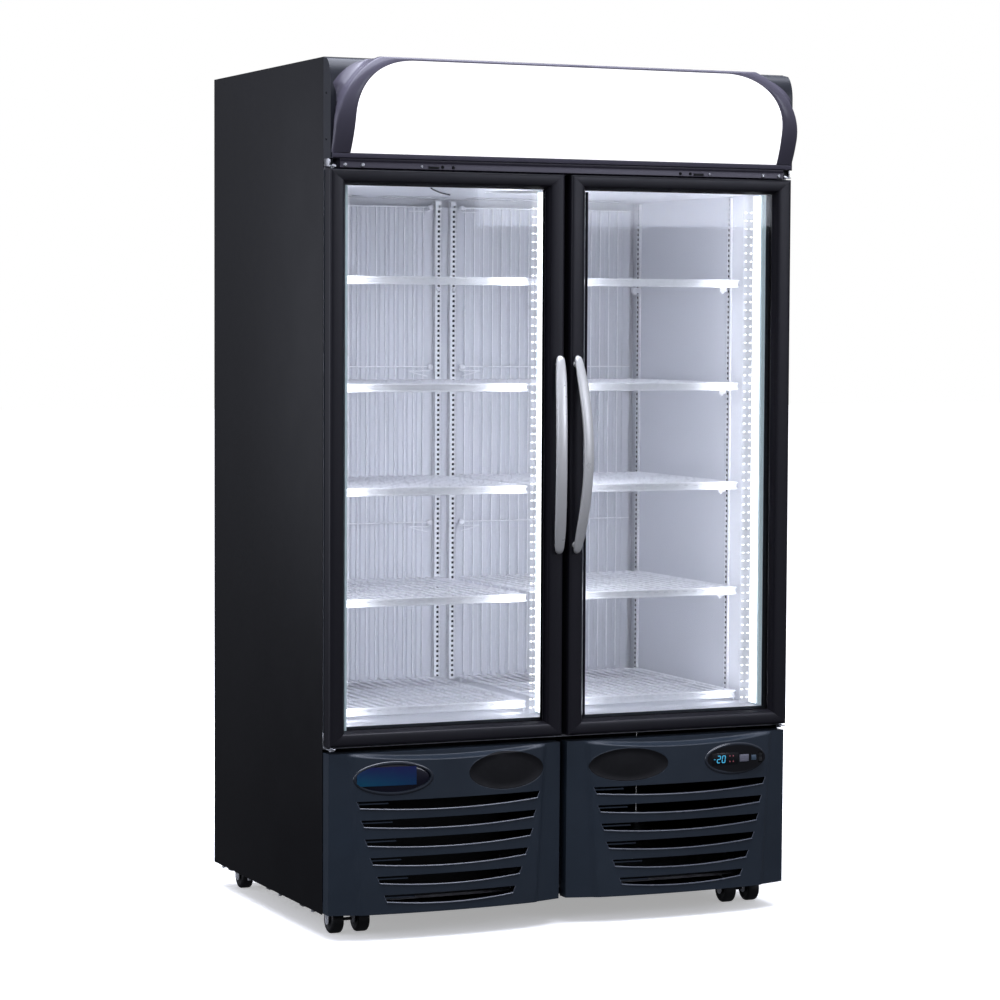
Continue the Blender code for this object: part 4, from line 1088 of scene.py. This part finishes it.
def build_door(side, name):
    body = "%s_door" % name
    x0, x1 = sorted((side * HALF, side * DOOR_GAP_HALF))
    z0, z1 = DOOR_BOTTOM, DOOR_TOP
    f = DOOR_FACE

    def rail_inset(d):
        """Rails are slimmer than stiles by the same shares of flat and bevel."""
        if d <= STILE_FLAT:
            return d if d < 0.008 else 0.008 + (d - 0.008) * (RAIL_FLAT - 0.008) / (STILE_FLAT - 0.008)
        return RAIL_FLAT + (d - STILE_FLAT) * (RAIL - RAIL_FLAT) / (STILE - STILE_FLAT)

    radius = 0.0066
    section = [(0.0002, DOOR_BACK - 0.0002)]
    section += arc((radius, f + radius + 0.0002), (radius, radius), 180, 270, 8)
    section += [(0.0120, f + 0.0002), (0.0180, f + 0.0004), (0.0240, f + 0.0008), (0.0290, f + 0.0013),
                (STILE_FLAT - 0.0012, f + 0.0020), (STILE_FLAT, f + 0.0028),
                (STILE_FLAT + 0.0022, f + 0.0066), (STILE_FLAT + 0.0026, f + 0.0078),
                (STILE_FLAT + 0.0038, f + 0.0084),
                (STILE_FLAT + 0.0044, f + 0.0098), (STILE - 0.0006, f + 0.0166), (STILE, f + 0.0178),
                (STILE - 0.0078, f + 0.0180), (STILE - 0.0078, DOOR_BACK - 0.0002)]
    bm = bmesh.new()
    mitred_frame(bm, x0, x1, z0, z1, [(d, rail_inset(d), y) for d, y in section])
    piece("%s_door_extrusion" % name, bm, FRAME_BLACK, body, ["%s_door_frame" % name],
          smooth=24)

    # insulated glass: two panes round a spacer that is tucked behind the frame's lip
    gx0, gx1, gz0, gz1 = x0 + STILE, x1 - STILE, z0 + RAIL, z1 - RAIL
    tuck = 0.0070
    bm = bmesh.new()
    for y in (GLASS_FRONT + 0.0006, GLASS_BACK - 0.0042):
        block(bm, (gx0 - tuck, y, gz0 - tuck), (gx1 + tuck, y + 0.0036, gz1 + tuck))
    glass = piece("%s_door_panes" % name, bm, GLASS_CLEAR, body, ["%s_door_glass" % name])
    glass.data.polygons.foreach_set("use_smooth", [False] * len(glass.data.polygons))
    bm = bmesh.new()
    tape = 0.0035
    spacer_front, spacer_back = GLASS_FRONT + 0.0045, GLASS_BACK - 0.0045
    ring = [(tuck, spacer_front), (tuck, spacer_back), (tuck - tape, spacer_back),
            (tuck - tape, spacer_front)]
    loft(bm, frame_ring(gx0, gx1, gz0, gz1, [(-d, -d, y) for d, y in ring]), closed=True)
    piece("%s_pane_spacer" % name, bm, SPACER_DARK, body)
    # a pale green strip along the outer edge of the left pane only: the glass edge's green, lightened as a
    # painted highlight
    if side < 0:
        bm = bmesh.new()
        block(bm, (gx0, GLASS_FRONT - 0.0004, gz0), (gx0 + 0.0050, GLASS_FRONT + 0.0004, gz1))
        piece("%s_pane_edge_highlight" % name, bm, GLASS_EDGE_HIGHLIGHT, body)
    # dotted bead on the bevel beside the other door
    meeting = gx1 if side < 0 else gx0
    bm = bmesh.new()
    lip = [(meeting + side * -0.0003, f + 0.0168), (meeting + side * -0.0041, f + 0.0104),
           (meeting + side * -0.0045, f + 0.0106), (meeting + side * -0.0007, f + 0.0172)]
    lip = [(2 * meeting - x, y) for x, y in lip]
    prism(bm, lip, "Z", gz0 + 0.004, gz1 - 0.004)
    piece("%s_dotted_bead" % name, bm, BEVEL_DOTS, body)

    # bellows gasket
    g0, g1 = DOOR_BACK + 0.0004, FRONT - 0.0010
    wave = []
    folds = 3
    for k in range(folds * 2 + 1):
        y = g0 + (g1 - g0) * k / (folds * 2)
        wave.append((0.0145 if k % 2 == 0 else 0.0162, y))
    for k in range(folds * 2, -1, -1):
        y = g0 + (g1 - g0) * k / (folds * 2)
        wave.append((0.0280 if k % 2 == 0 else 0.0262, y))
    bm = bmesh.new()
    loft(bm, frame_ring(x0, x1, z0 - 0.006, z1 + 0.006, [(d, d, y) for d, y in wave]), closed=True)
    piece("%s_door_seal" % name, bm, RUBBER, body, ["%s_door_gasket" % name])

    bm = bmesh.new()
    tail, root = DOOR_BACK - 0.0001, GLASS_BACK + 0.0001
    trim = [(0.0300, root), (0.0300, tail), (STILE - 0.0006, tail), (STILE, root + 0.0003), (STILE, root)]
    mitred_frame(bm, x0, x1, z0, z1, [(d, d - STILE + RAIL, y) for d, y in trim])
    piece("%s_door_back_trim" % name, bm, FRAME_BLACK, body)
    build_handle(side, name)


def build_handle(side, name):
    """An arched satin bar with a soft flat face, bowing away from the door and from its partner."""
    box_low, box_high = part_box("%s_door_handle" % name)
    start, end = box_low.z, box_high.z
    sections, sides = 44, 28
    bm = bmesh.new()
    rings = []
    for k in range(sections + 1):
        # closer rings near the rounded tips
        share = 0.5 - 0.5 * math.cos(math.pi * k / sections)
        bow = math.sin(math.pi * share)
        grow = min(1.0, bow * 2.2)
        full = 0.66 + 0.34 * grow * (2 - grow)
        tip_depth = min(1.0, min(share, 1 - share) / 0.022)
        tip = max(0.06, math.sqrt(1 - (1 - tip_depth) ** 2))
        centre = (side * (0.0225 + 0.012 * bow), DOOR_FACE - 0.0066 - 0.0385 * bow ** 0.85)
        half_x, half_y = 0.0130 * full * tip, 0.0068 * (0.88 + 0.12 * bow) * tip
        z = start + (end - start) * share
        ring = []
        for u, v in arc((0, 0), (half_x, half_y), 0, 360 - 360 / sides, sides - 1, 2.5):
            lean = 0.10 * u * side
            ring.append((centre[0] + u, centre[1] + v + lean, z))
        rings.append(ring)
    loft(bm, rings)
    for z in (start + 0.020, end - 0.020):
        turned(bm, [(0.0068, -0.006), (0.0068, 0.0), (0.0080, 0.0002)],
               (side * 0.0228, DOOR_FACE - 0.0003, z), "Y", 18)
    piece("%s_handle_bar" % name, bm, SATIN, "%s_door" % name, ["%s_door_handle" % name],
          smooth=60)


def build_hinges():
    for side, name in SIDES:
        for place in ("top", "bottom"):
            node = "%s_%s_hinge" % (name, place)
            box_low, box_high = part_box(node)
            inner, outer = sorted((abs(box_low.x), abs(box_high.x)))
            bm = bmesh.new()
            pin_x, pin_y = HALF - 0.012, FRONT - 0.029
            if place == "top":
                arm = (DOOR_TOP + 0.003, box_high.z)
                pin = (box_low.z, DOOR_TOP + 0.006)
            else:
                arm = (box_low.z, DOOR_BOTTOM - 0.003)
                pin = (DOOR_BOTTOM - 0.006, DOOR_BOTTOM + 0.012)
            thick = 0.0030
            edge_z = arm[0] if place == "top" else arm[1] - thick
            side_block(bm, side, inner + 0.0055, outer, DOOR_FACE + 0.0042, FRONT - 0.0006, edge_z,
                       edge_z + thick, 0.0009)
            if place == "top":
                side_block(bm, side, inner + 0.0055, outer, FRONT - 0.0040, FRONT - 0.0006, arm[0],
                           arm[1], 0.0009)
                side_block(bm, side, outer - 0.0030, outer, DOOR_FACE + 0.010, FRONT - 0.0006, arm[0],
                           arm[1] - 0.002, 0.0009)
            else:
                side_block(bm, side, outer - 0.010, outer, FRONT - 0.0038, FRONT - 0.0008, arm[0],
                           box_high.z, 0.0009)
            turned(bm, [(0.0, pin[0]), (0.0032, pin[0]), (0.0038, pin[0] + 0.001), (0.0038, pin[1]),
                        (0.0, pin[1])], (side * pin_x, pin_y, 0), "Z", 20)
            nut = edge_z + thick if place == "top" else edge_z
            out = 1 if place == "top" else -1
            turned(bm, [(0.0072, 0.0), (0.0072, 0.0030 * out), (0.0058, 0.0042 * out), (0.0, 0.0042 * out)],
                   (side * pin_x, pin_y, nut), "Z", 6)
            screw_head(bm, (side * (outer - 0.005), DOOR_FACE + 0.016, nut), "Z", 0.0035, out)
            piece("%s_%s_bracket" % (name, place), bm, ZINC, "cabinet", [node])


# -------------------------------------------------------------------- grilles
SLOT_TOP, SLOT_PITCH = 0.3215, 0.0433
SLOT_WIDTHS = (0.457, 0.437, 0.420, 0.395, 0.363, 0.329)
SLOT_SIDE, SLOT_SAG, SLOT_SLANT = 0.0155, 0.0085, 0.0070
OVAL_INNER_X = 0.1575


def ease(value):
    value = min(1.0, max(0.0, value))
    return value * value * (3 - 2 * value)


def grille_y(x, z):
    """Front of a grille: a bowed middle raised between flatter wings, stepped back above a brow line."""
    half = GRILLE_OUTER - GRILLE_MID
    across = (abs(x) - GRILLE_MID) / half
    rise = (z - GRILLE_BOTTOM) / (GRILLE_TOP - GRILLE_BOTTOM)
    wing = (0.066 - 0.022 * rise) / half
    inside = (1 - wing - abs(across)) * half
    bow = 0.0255 * (1 - across * across) + 0.0050 * ease((inside + 0.001) / 0.0055) + 0.13 * min(0.0, inside)
    reach = 1 - wing * 0.5
    brow = GRILLE_TOP - 0.0035 - 0.0165 * max(0.0, 1 - (across / reach) ** 2)
    recess = max(0.0, bow - 0.0085)
    bow -= recess * ease((z - brow) / 0.0095) * ease((inside + 0.022) / 0.022)
    return DOOR_FACE + 0.0043 - bow


def slot_shape(row, grow=0.0, steps=22):
    """Outline of a louvre slot about the grille's middle: straight top, slanted ends, curved lower edge."""
    half = SLOT_WIDTHS[row] / 2 + grow
    top = SLOT_TOP - SLOT_PITCH * row + grow
    side_height = SLOT_SIDE + 2 * grow
    lower = []
    for k in range(steps + 1):
        share = -1 + 2 * k / steps
        lower.append((share * (half - SLOT_SLANT), top - side_height - SLOT_SAG * (1 - share * share)))
    upper = [(half * (1 - 2 * k / steps), top) for k in range(steps + 1)]
    return lower, upper


def shell_grid(side):
    """Closed 3 mm shell of one grille: front skin, returns to the cabinet, and the inside."""
    nx, plain_rows, brow_rows, skin = 110, 30, 56, 0.0030
    nz = plain_rows + brow_rows
    back = FRONT - 0.0006
    xs = [GRILLE_INNER + (GRILLE_OUTER - GRILLE_INNER) * k / nx for k in range(nx + 1)]
    brow_foot = GRILLE_TOP - 0.040
    zs = [GRILLE_BOTTOM + (brow_foot - GRILLE_BOTTOM) * k / plain_rows for k in range(plain_rows)]
    zs += [brow_foot + (GRILLE_TOP - brow_foot) * k / brow_rows for k in range(brow_rows + 1)]
    bm = bmesh.new()

    def clamp(value, lowest, highest):
        return max(lowest, min(highest, value))

    front = [[bm.verts.new((side * x, grille_y(x, z), z)) for x in xs] for z in zs]
    inner = [[bm.verts.new((side * clamp(x, xs[0] + skin, xs[-1] - skin), grille_y(x, z) + skin,
                            clamp(z, zs[0] + skin, zs[-1] - skin))) for x in xs] for z in zs]

    def border(grid):
        right = [row[-1] for row in grid[1:-1]]
        left = [row[0] for row in grid[-2:0:-1]]
        return grid[0][:] + right + grid[-1][::-1] + left

    for grid in (front, inner):
        for j in range(nz):
            for i in range(nx):
                bm.faces.new((grid[j][i], grid[j][i + 1], grid[j + 1][i + 1], grid[j + 1][i]))
    outer_edge, inner_edge = border(front), border(inner)
    outer_back = [bm.verts.new((v.co.x, back, v.co.z)) for v in outer_edge]
    inner_back = [bm.verts.new((v.co.x, back, v.co.z)) for v in inner_edge]
    count = len(outer_edge)
    for loops in ((outer_edge, outer_back), (outer_back, inner_back), (inner_back, inner_edge)):
        for k in range(count):
            after = (k + 1) % count
            bm.faces.new((loops[0][k], loops[0][after], loops[1][after], loops[1][k]))
    return bm


def scratch_object(bm, name):
    bmesh.ops.recalc_face_normals(bm, faces=bm.faces)
    mesh = bpy.data.meshes.new(name)
    bm.to_mesh(mesh)
    bm.free()
    obj = bpy.data.objects.new(name, mesh)
    bpy.context.scene.collection.objects.link(obj)
    return obj


def subtract(target, cutter):
    """The target's mesh with the cutter taken out, as a new bmesh; both scratch objects are removed."""
    modifier = target.modifiers.new("cut", "BOOLEAN")
    modifier.operation = "DIFFERENCE"
    modifier.solver = "EXACT"
    modifier.object = cutter
    evaluated = target.evaluated_get(bpy.context.evaluated_depsgraph_get())
    bm = bmesh.new()
    bm.from_mesh(evaluated.to_mesh())
    evaluated.to_mesh_clear()
    for obj in (target, cutter):
        bpy.data.objects.remove(obj)
    return bm


def ellipse(centre, radii, steps=56):
    return arc(centre, radii, 0, 360 - 360 / steps, steps - 1)


def oval_rings(side, centre, radii, layers):
    """A turned-like oval: each layer is (extra radius, y offset from the grille's skin)."""
    cx, cz = centre
    rings = []
    for extra, lift in layers:
        ring = []
        for u, v in ellipse((0, 0), (radii[0] + extra, radii[1] + extra)):
            x, z = side * cx + u, cz + v
            ring.append((x, grille_y(abs(x), z) + lift, z))
        rings.append(ring)
    return rings


def build_slots(side, name):
    """Glossy lips lightened as a painted highlight, deep pockets darkened as painted shade, and small tabs of
    the louvre slots.
    """
    lips, pockets, tabs = bmesh.new(), bmesh.new(), bmesh.new()
    middle = side * GRILLE_MID

    def skin(u, v):
        return grille_y(abs(middle + u), v)

    for row, width in enumerate(SLOT_WIDTHS):
        lower, upper = slot_shape(row)
        # lips along the lower edges and ends, lighter than the grille they belong to: painted highlight
        tube(lips, [(middle + u, skin(u, v) - 0.0004, v - 0.0008) for u, v in lower], 0.0018, 10)
        for end in (0, -1):
            foot, head = lower[end], upper[0 if end == -1 else -1]
            rise = [(foot[0] + (head[0] - foot[0]) * t, foot[1] + (head[1] - foot[1]) * t)
                    for t in (0.0, 0.5, 1.0)]
            tube(lips, [(middle + u, skin(u, v) + 0.0004, v) for u, v in rise], 0.0009, 6)
        # the pockets are near black, far darker than the grille plastic: painted shade inside the slots
        depth, wall = 0.020, 0.0012
        big_lower, big_upper = slot_shape(row, wall)
        small, big = lower + upper, big_lower + big_upper
        rings = []
        for outline, lift in ((small, 0.0022), (small, depth), (big, depth), (big, 0.0032)):
            rings.append([(middle + u, skin(u, v) + lift, v) for u, v in outline])
        loft(pockets, rings, closed=True)
        # a short moulded tab inside the slot's left end
        end = -width / 2 + 0.0030
        top = SLOT_TOP - SLOT_PITCH * row
        slices = []
        for k in range(9):
            u = end + 0.072 * k / 8
            y = skin(u, top) + 0.0016
            slices.append([(middle + u, y, top - 0.0052), (middle + u, y + 0.010, top - 0.0052),
                           (middle + u, y + 0.010, top - 0.0078), (middle + u, y, top - 0.0078)])
        loft(tabs, slices)
    piece("%s_slot_lips" % name, lips, LIP_PAINTED_HIGHLIGHT, "cabinet")
    piece("%s_slot_pockets" % name, pockets, SLOT_BLACK, "cabinet")
    piece("%s_slot_tabs" % name, tabs, GRILLE_PLASTIC, "cabinet")


def build_grille(side, name):
    cut_front, cut_back = DOOR_FACE - 0.05, FRONT - 0.02
    cutter = bmesh.new()
    for row in range(len(SLOT_WIDTHS)):
        lower, upper = slot_shape(row)
        prism(cutter, [(side * GRILLE_MID + u, v) for u, v in lower + upper], "Y", cut_front, cut_back)
    outer_radii = (0.0945, 0.0385) if side < 0 else (0.0845, 0.0375)
    prism(cutter, ellipse((side * abs(BADGE.x), BADGE.z), outer_radii), "Y", cut_front, cut_back)
    radii = (0.0980, 0.0440) if side < 0 else (0.1000, 0.0395)
    centre = (OVAL_INNER_X, 0.3755 if side < 0 else 0.3715)
    prism(cutter, ellipse((side * centre[0], centre[1]), radii), "Y", cut_front, cut_back)
    bm = subtract(scratch_object(shell_grid(side), "grille_shell"), scratch_object(cutter, "grille_cutter"))
    piece("%s_grille_shell" % name, bm, GRILLE_PLASTIC, "cabinet",
          ["%s_grille" % name], smooth=32)
    build_slots(side, name)

    # matt oval insert beside the middle of the cabinet
    bm = bmesh.new()
    layers = [(0.0004, 0.0030), (0.0002, 0.0008), (-0.0015, 0.0002), (-0.0035, 0.0008), (-0.0060, 0.0022)]
    rings = oval_rings(side, centre, radii, layers)
    for shrink in (0.75, 0.5, 0.25, 0.05):
        small = ((radii[0] - 0.006) * shrink, (radii[1] - 0.006) * shrink)
        rings += oval_rings(side, centre, small, [(0.0, 0.0022 - 0.0012 * (1 - shrink))])
    loft(bm, rings)
    piece("%s_oval_insert" % name, bm, MATT_OVAL, "cabinet", smooth=50)
    bm = bmesh.new()
    rim = [(side * centre[0] + u, centre[1] + v) for u, v in ellipse((0, 0), radii)]
    tube(bm, [(x, grille_y(abs(x), z) + 0.0005, z) for x, z in rim], 0.0009, 6, closed=True)
    piece("%s_oval_rim" % name, bm, GRILLE_PLASTIC, "cabinet")


def oval_bezel(bm, side, centre, radii):
    """Raised frame round an oval fitting: a soft outer slope and a crisp inner lip."""
    layers = [(0.0005, 0.0030), (0.0002, 0.0002), (-0.0016, -0.0014), (-0.0042, -0.0020),
              (-0.0072, -0.0014), (-0.0086, 0.0016), (-0.0088, 0.0080)]
    rings = oval_rings(side, centre, radii, layers)
    back = oval_rings(side, centre, radii, [(-0.0050, 0.0080)])
    loft(bm, rings + back, closed=True)


def build_badge():
    radii = (0.0955, 0.0392)
    centre = (abs(BADGE.x), BADGE.z)
    bm = bmesh.new()
    oval_bezel(bm, -1, centre, radii)
    piece("badge_bezel", bm, RING_GLOSS, "cabinet", ["badge_plate"], smooth=50)
    bm = bmesh.new()
    rings = []
    for shrink, lift in ((1.0, 0.0040), (0.97, 0.0016), (0.90, 0.0006), (0.70, -0.0004), (0.45, -0.0009),
                         (0.20, -0.0012), (0.02, -0.0012)):
        small = ((radii[0] - 0.0068) * shrink, (radii[1] - 0.0068) * shrink)
        rings += oval_rings(-1, centre, small, [(0.0, lift)])
    loft(bm, rings)
    piece("badge_dome", bm, GLOSS_OVAL, "cabinet", smooth=60)
    # plain blue plate across the left of the dome
    bm = bmesh.new()
    x0, x1, z0, z1 = -0.5260, -0.3860, 0.3560, 0.3985
    steps = 20
    rings = []
    for k in range(steps + 1):
        x = x0 + (x1 - x0) * k / steps
        spread = (x + abs(BADGE.x)) / (radii[0] - 0.0040)
        room = (radii[1] - 0.0070) * math.sqrt(max(0.0, 1 - spread * spread))
        bottom, top = max(z0, BADGE.z - room), min(z1, BADGE.z + room)
        if top - bottom < 0.002:
            bottom, top = BADGE.z - 0.001, BADGE.z + 0.001
        y = grille_y(abs(x), BADGE.z) - 0.0026
        rings.append([(x, y, bottom), (x, y - 0.0006, (bottom + top) / 2), (x, y, top), (x, y + 0.0012, top),
                      (x, y + 0.0012, bottom)])
    loft(bm, rings)
    piece("badge_plain_plate", bm, BADGE_PLATE, "cabinet", smooth=40)


SEGMENTS = {"-": "g", "2": "abged", "0": "abcdef"}


def digit(bm, mark, x, z, wide, tall, y):
    """A seven-segment figure with its lower left corner at x, z."""
    stroke = wide * 0.22
    lean = 0.10
    spots = {"a": (0, tall, wide, tall), "b": (wide, tall / 2, wide, tall), "c": (wide, 0, wide, tall / 2),
             "d": (0, 0, wide, 0), "e": (0, 0, 0, tall / 2), "f": (0, tall / 2, 0, tall),
             "g": (0, tall / 2, wide, tall / 2)}
    for key in SEGMENTS[mark]:
        u0, v0, u1, v1 = spots[key]
        a = Vector((x + u0 + lean * v0, y, z + v0))
        b = Vector((x + u1 + lean * v1, y, z + v1))
        along = (b - a).normalized()
        across = Vector((along.z, 0, -along.x)) * stroke / 2
        a, b = a + along * stroke * 0.6, b - along * stroke * 0.6
        tip = along * stroke / 2
        outline = [a - tip, a + across, b + across, b + tip, b - across, a - across]
        loft(bm, [outline, [p + Vector((0, 0.0008, 0)) for p in outline]])


def build_controller():
    radii = (0.0855, 0.0385)
    centre = (CONTROL.x, CONTROL.z)
    bm = bmesh.new()
    oval_bezel(bm, 1, centre, radii)
    piece("controller_bezel", bm, RING_GLOSS, "cabinet", smooth=50)
    # the recessed fascia is cut round the key and the rocker
    key_low, key_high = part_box("set_key")
    rock_low, rock_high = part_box("power_rocker")
    face_y = CONTROL_FACE + 0.0004
    fascia = bmesh.new()
    prism(fascia, ellipse(centre, (radii[0] - 0.0066, radii[1] - 0.0066)), "Y", face_y, face_y + 0.026)
    holes = bmesh.new()
    margin = 0.0007
    block(holes, (key_low.x - margin, face_y - 0.01, key_low.z - margin),
          (key_high.x + margin, face_y + 0.0075, key_high.z + margin))
    block(holes, (rock_low.x - margin, face_y - 0.01, rock_low.z - 0.002),
          (rock_high.x + margin, face_y + 0.0160, rock_high.z + 0.002))
    bm = subtract(scratch_object(fascia, "fascia"), scratch_object(holes, "fascia_holes"))
    piece("controller_fascia", bm, FASCIA_BLACK, "cabinet", ["controller_housing"], smooth=30)
    bm = bmesh.new()
    block(bm, (CONTROL.x - 0.064, face_y - 0.0004, CONTROL.z - 0.0145),
          (CONTROL.x + 0.006, face_y + 0.001, CONTROL.z + 0.0145), 0.0003)
    piece("display_window", bm, FASCIA_BLACK, "cabinet")

    bm = bmesh.new()
    z, y = CONTROL.z - 0.0082, face_y - 0.0012
    figure_tall = 0.0160
    for mark, dx, wide in (("-", -0.0610, 0.0050), ("2", -0.0510, 0.0076), ("0", -0.0380, 0.0076)):
        digit(bm, mark, CONTROL.x + dx, z, wide, figure_tall, y)
    piece("display_digits", bm, DIGIT_GLOW, "cabinet")
    bm = bmesh.new()
    for dx in (-0.0165, -0.0075):
        for dz in (-0.0065, 0.0065):
            turned(bm, [(0.0019, 0.0), (0.0015, -0.0007), (0.0, -0.0009)],
                   (CONTROL.x + dx, face_y - 0.0003, CONTROL.z + dz), "Y", 12)
    piece("display_lamps", bm, DOT_RED, "cabinet")
    bm = bmesh.new()
    block(bm, (CONTROL.x + 0.0415, face_y - 0.0011, CONTROL.z - 0.0062),
          (CONTROL.x + 0.0545, face_y + 0.001, CONTROL.z + 0.0062), 0.0008)
    piece("second_key", bm, KEY_BLUE, "cabinet")

    # moving key and rocker
    bm = bmesh.new()
    block(bm, key_low + Vector((0, 0.0003, 0)), key_high, 0.0011, 3)
    key_mid_z = (key_low.z + key_high.z) / 2
    for dz in (-0.0045, 0.0, 0.0045):
        block(bm, (key_low.x + 0.004, key_low.y, key_mid_z + dz - 0.0009),
              (key_high.x - 0.004, key_low.y + 0.001, key_mid_z + dz + 0.0009), 0.0003)
    piece("set_key_cap", bm, KEY_GREY, "set_key", ["set_key"])
    bm = bmesh.new()
    mid_z = (rock_low.z + rock_high.z) / 2
    outline = [(rock_low.y + 0.0002, rock_low.z), (rock_low.y + 0.0018, mid_z),
               (rock_low.y + 0.0002, rock_high.z), (rock_high.y, rock_high.z), (rock_high.y, rock_low.z)]
    prism(bm, outline, "X", rock_low.x, rock_high.x)
    round_edges(bm, list(bm.edges), 0.0006, 2)
    piece("rocker_cap", bm, TYRE, "power_rocker", ["power_rocker"])


# -------------------------------------------------------- machine compartment
def build_machinery():
    for node, mat, smooth in (("evaporator_coil", FIN_METAL, None), ("condenser_coil", CONDENSER_BLACK, None),
                              ("evaporator_fan", SLOT_BLACK, 30), ("condenser_fan", SLOT_BLACK, 30),
                              ("compressor", COMPRESSOR_BLACK, 35)):
        repaint(node, mat, smooth)


# -------------------------------------------------------------------- casters
def build_caster(place, name):
    node = "%s_%s_wheel_pair" % (place, name)
    plate_low, plate_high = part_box("%s_%s_caster_bracket" % (place, name))
    wheel_low, wheel_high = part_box(node)
    centre = (wheel_low + wheel_high) / 2
    radius = (wheel_high.z - wheel_low.z) / 2
    # the wheels stand slightly wider apart than the plain ones of the frame
    offset, half_width = 0.0320, 0.0148
    tread = [(0.0, -half_width), (0.006, -half_width), (0.0085, -half_width + 0.0022),
             (0.018, -half_width + 0.0022), (0.0215, -half_width)]
    for k in range(7):
        angle = math.radians(-90 + 15 * k)
        tread.append((radius - 0.0068 + 0.0068 * math.cos(angle),
                      -half_width + 0.0062 + 0.0062 * math.sin(angle)))
    profile = tread + [(r, -h) for r, h in reversed(tread)]
    bm = bmesh.new()
    for shift in (-offset, offset):
        turned(bm, profile, (centre.x + shift, centre.y, centre.z), "X", 40)
    turned(bm, [(0.0, -0.0500), (0.0038, -0.0500), (0.0038, 0.0500), (0.0, 0.0500)], centre, "X", 16)
    piece("%s_%s_wheels" % (place, name), bm, TYRE, node, [node], smooth=40)

    bm = bmesh.new()
    top = plate_high.z
    block(bm, (plate_low.x, plate_low.y, top - 0.0030), (plate_high.x, plate_high.y, top), 0.0010)
    leg_at, leg = half_width + 0.0028, 0.0009
    for shift in (-offset, offset):
        for hand in (-1, 1):
            x = centre.x + shift + hand * leg_at
            outline = [(centre.y - 0.0175, top - 0.0025)]
            outline += [(centre.y + u, centre.z + v) for u, v in arc((0, 0), (0.0105, 0.0105), 180, 360, 12)]
            outline += [(centre.y + 0.0175, top - 0.0025)]
            prism(bm, outline, "X", x - leg, x + leg)
            nut = [(0.0062, 0.0), (0.0062, 0.0016 * hand), (0.0045, 0.0024 * hand), (0.0, 0.0024 * hand)]
            turned(bm, nut, (x + hand * leg, centre.y, centre.z), "X", 6)
        block(bm, (centre.x + shift - leg_at, centre.y - 0.0175, top - 0.0075),
              (centre.x + shift + leg_at, centre.y + 0.0175, top - 0.0028), 0.0012)
    for dx in (-0.038, 0.038):
        for dy in (-0.028, 0.028):
            turned(bm, [(0.0048, 0.0), (0.0048, -0.0024), (0.0036, -0.0032), (0.0, -0.0032)],
                   (centre.x + dx, centre.y + dy, top - 0.0030), "Z", 6)
    piece("%s_%s_fork" % (place, name), bm, FORK_ZINC, "cabinet",
          ["%s_%s_caster_bracket" % (place, name)])


build_camera()
build_stage()
build_side_panels()
build_back_details()
build_liner()
build_base_pan()
build_mullion()
build_interior()
build_sign()
for hand, door in SIDES:
    build_door(hand, door)
    build_grille(hand, door)
build_hinges()
build_badge()
build_controller()
build_machinery()
for end in ("front", "rear"):
    for _, hand_name in SIDES:
        build_caster(end, hand_name)
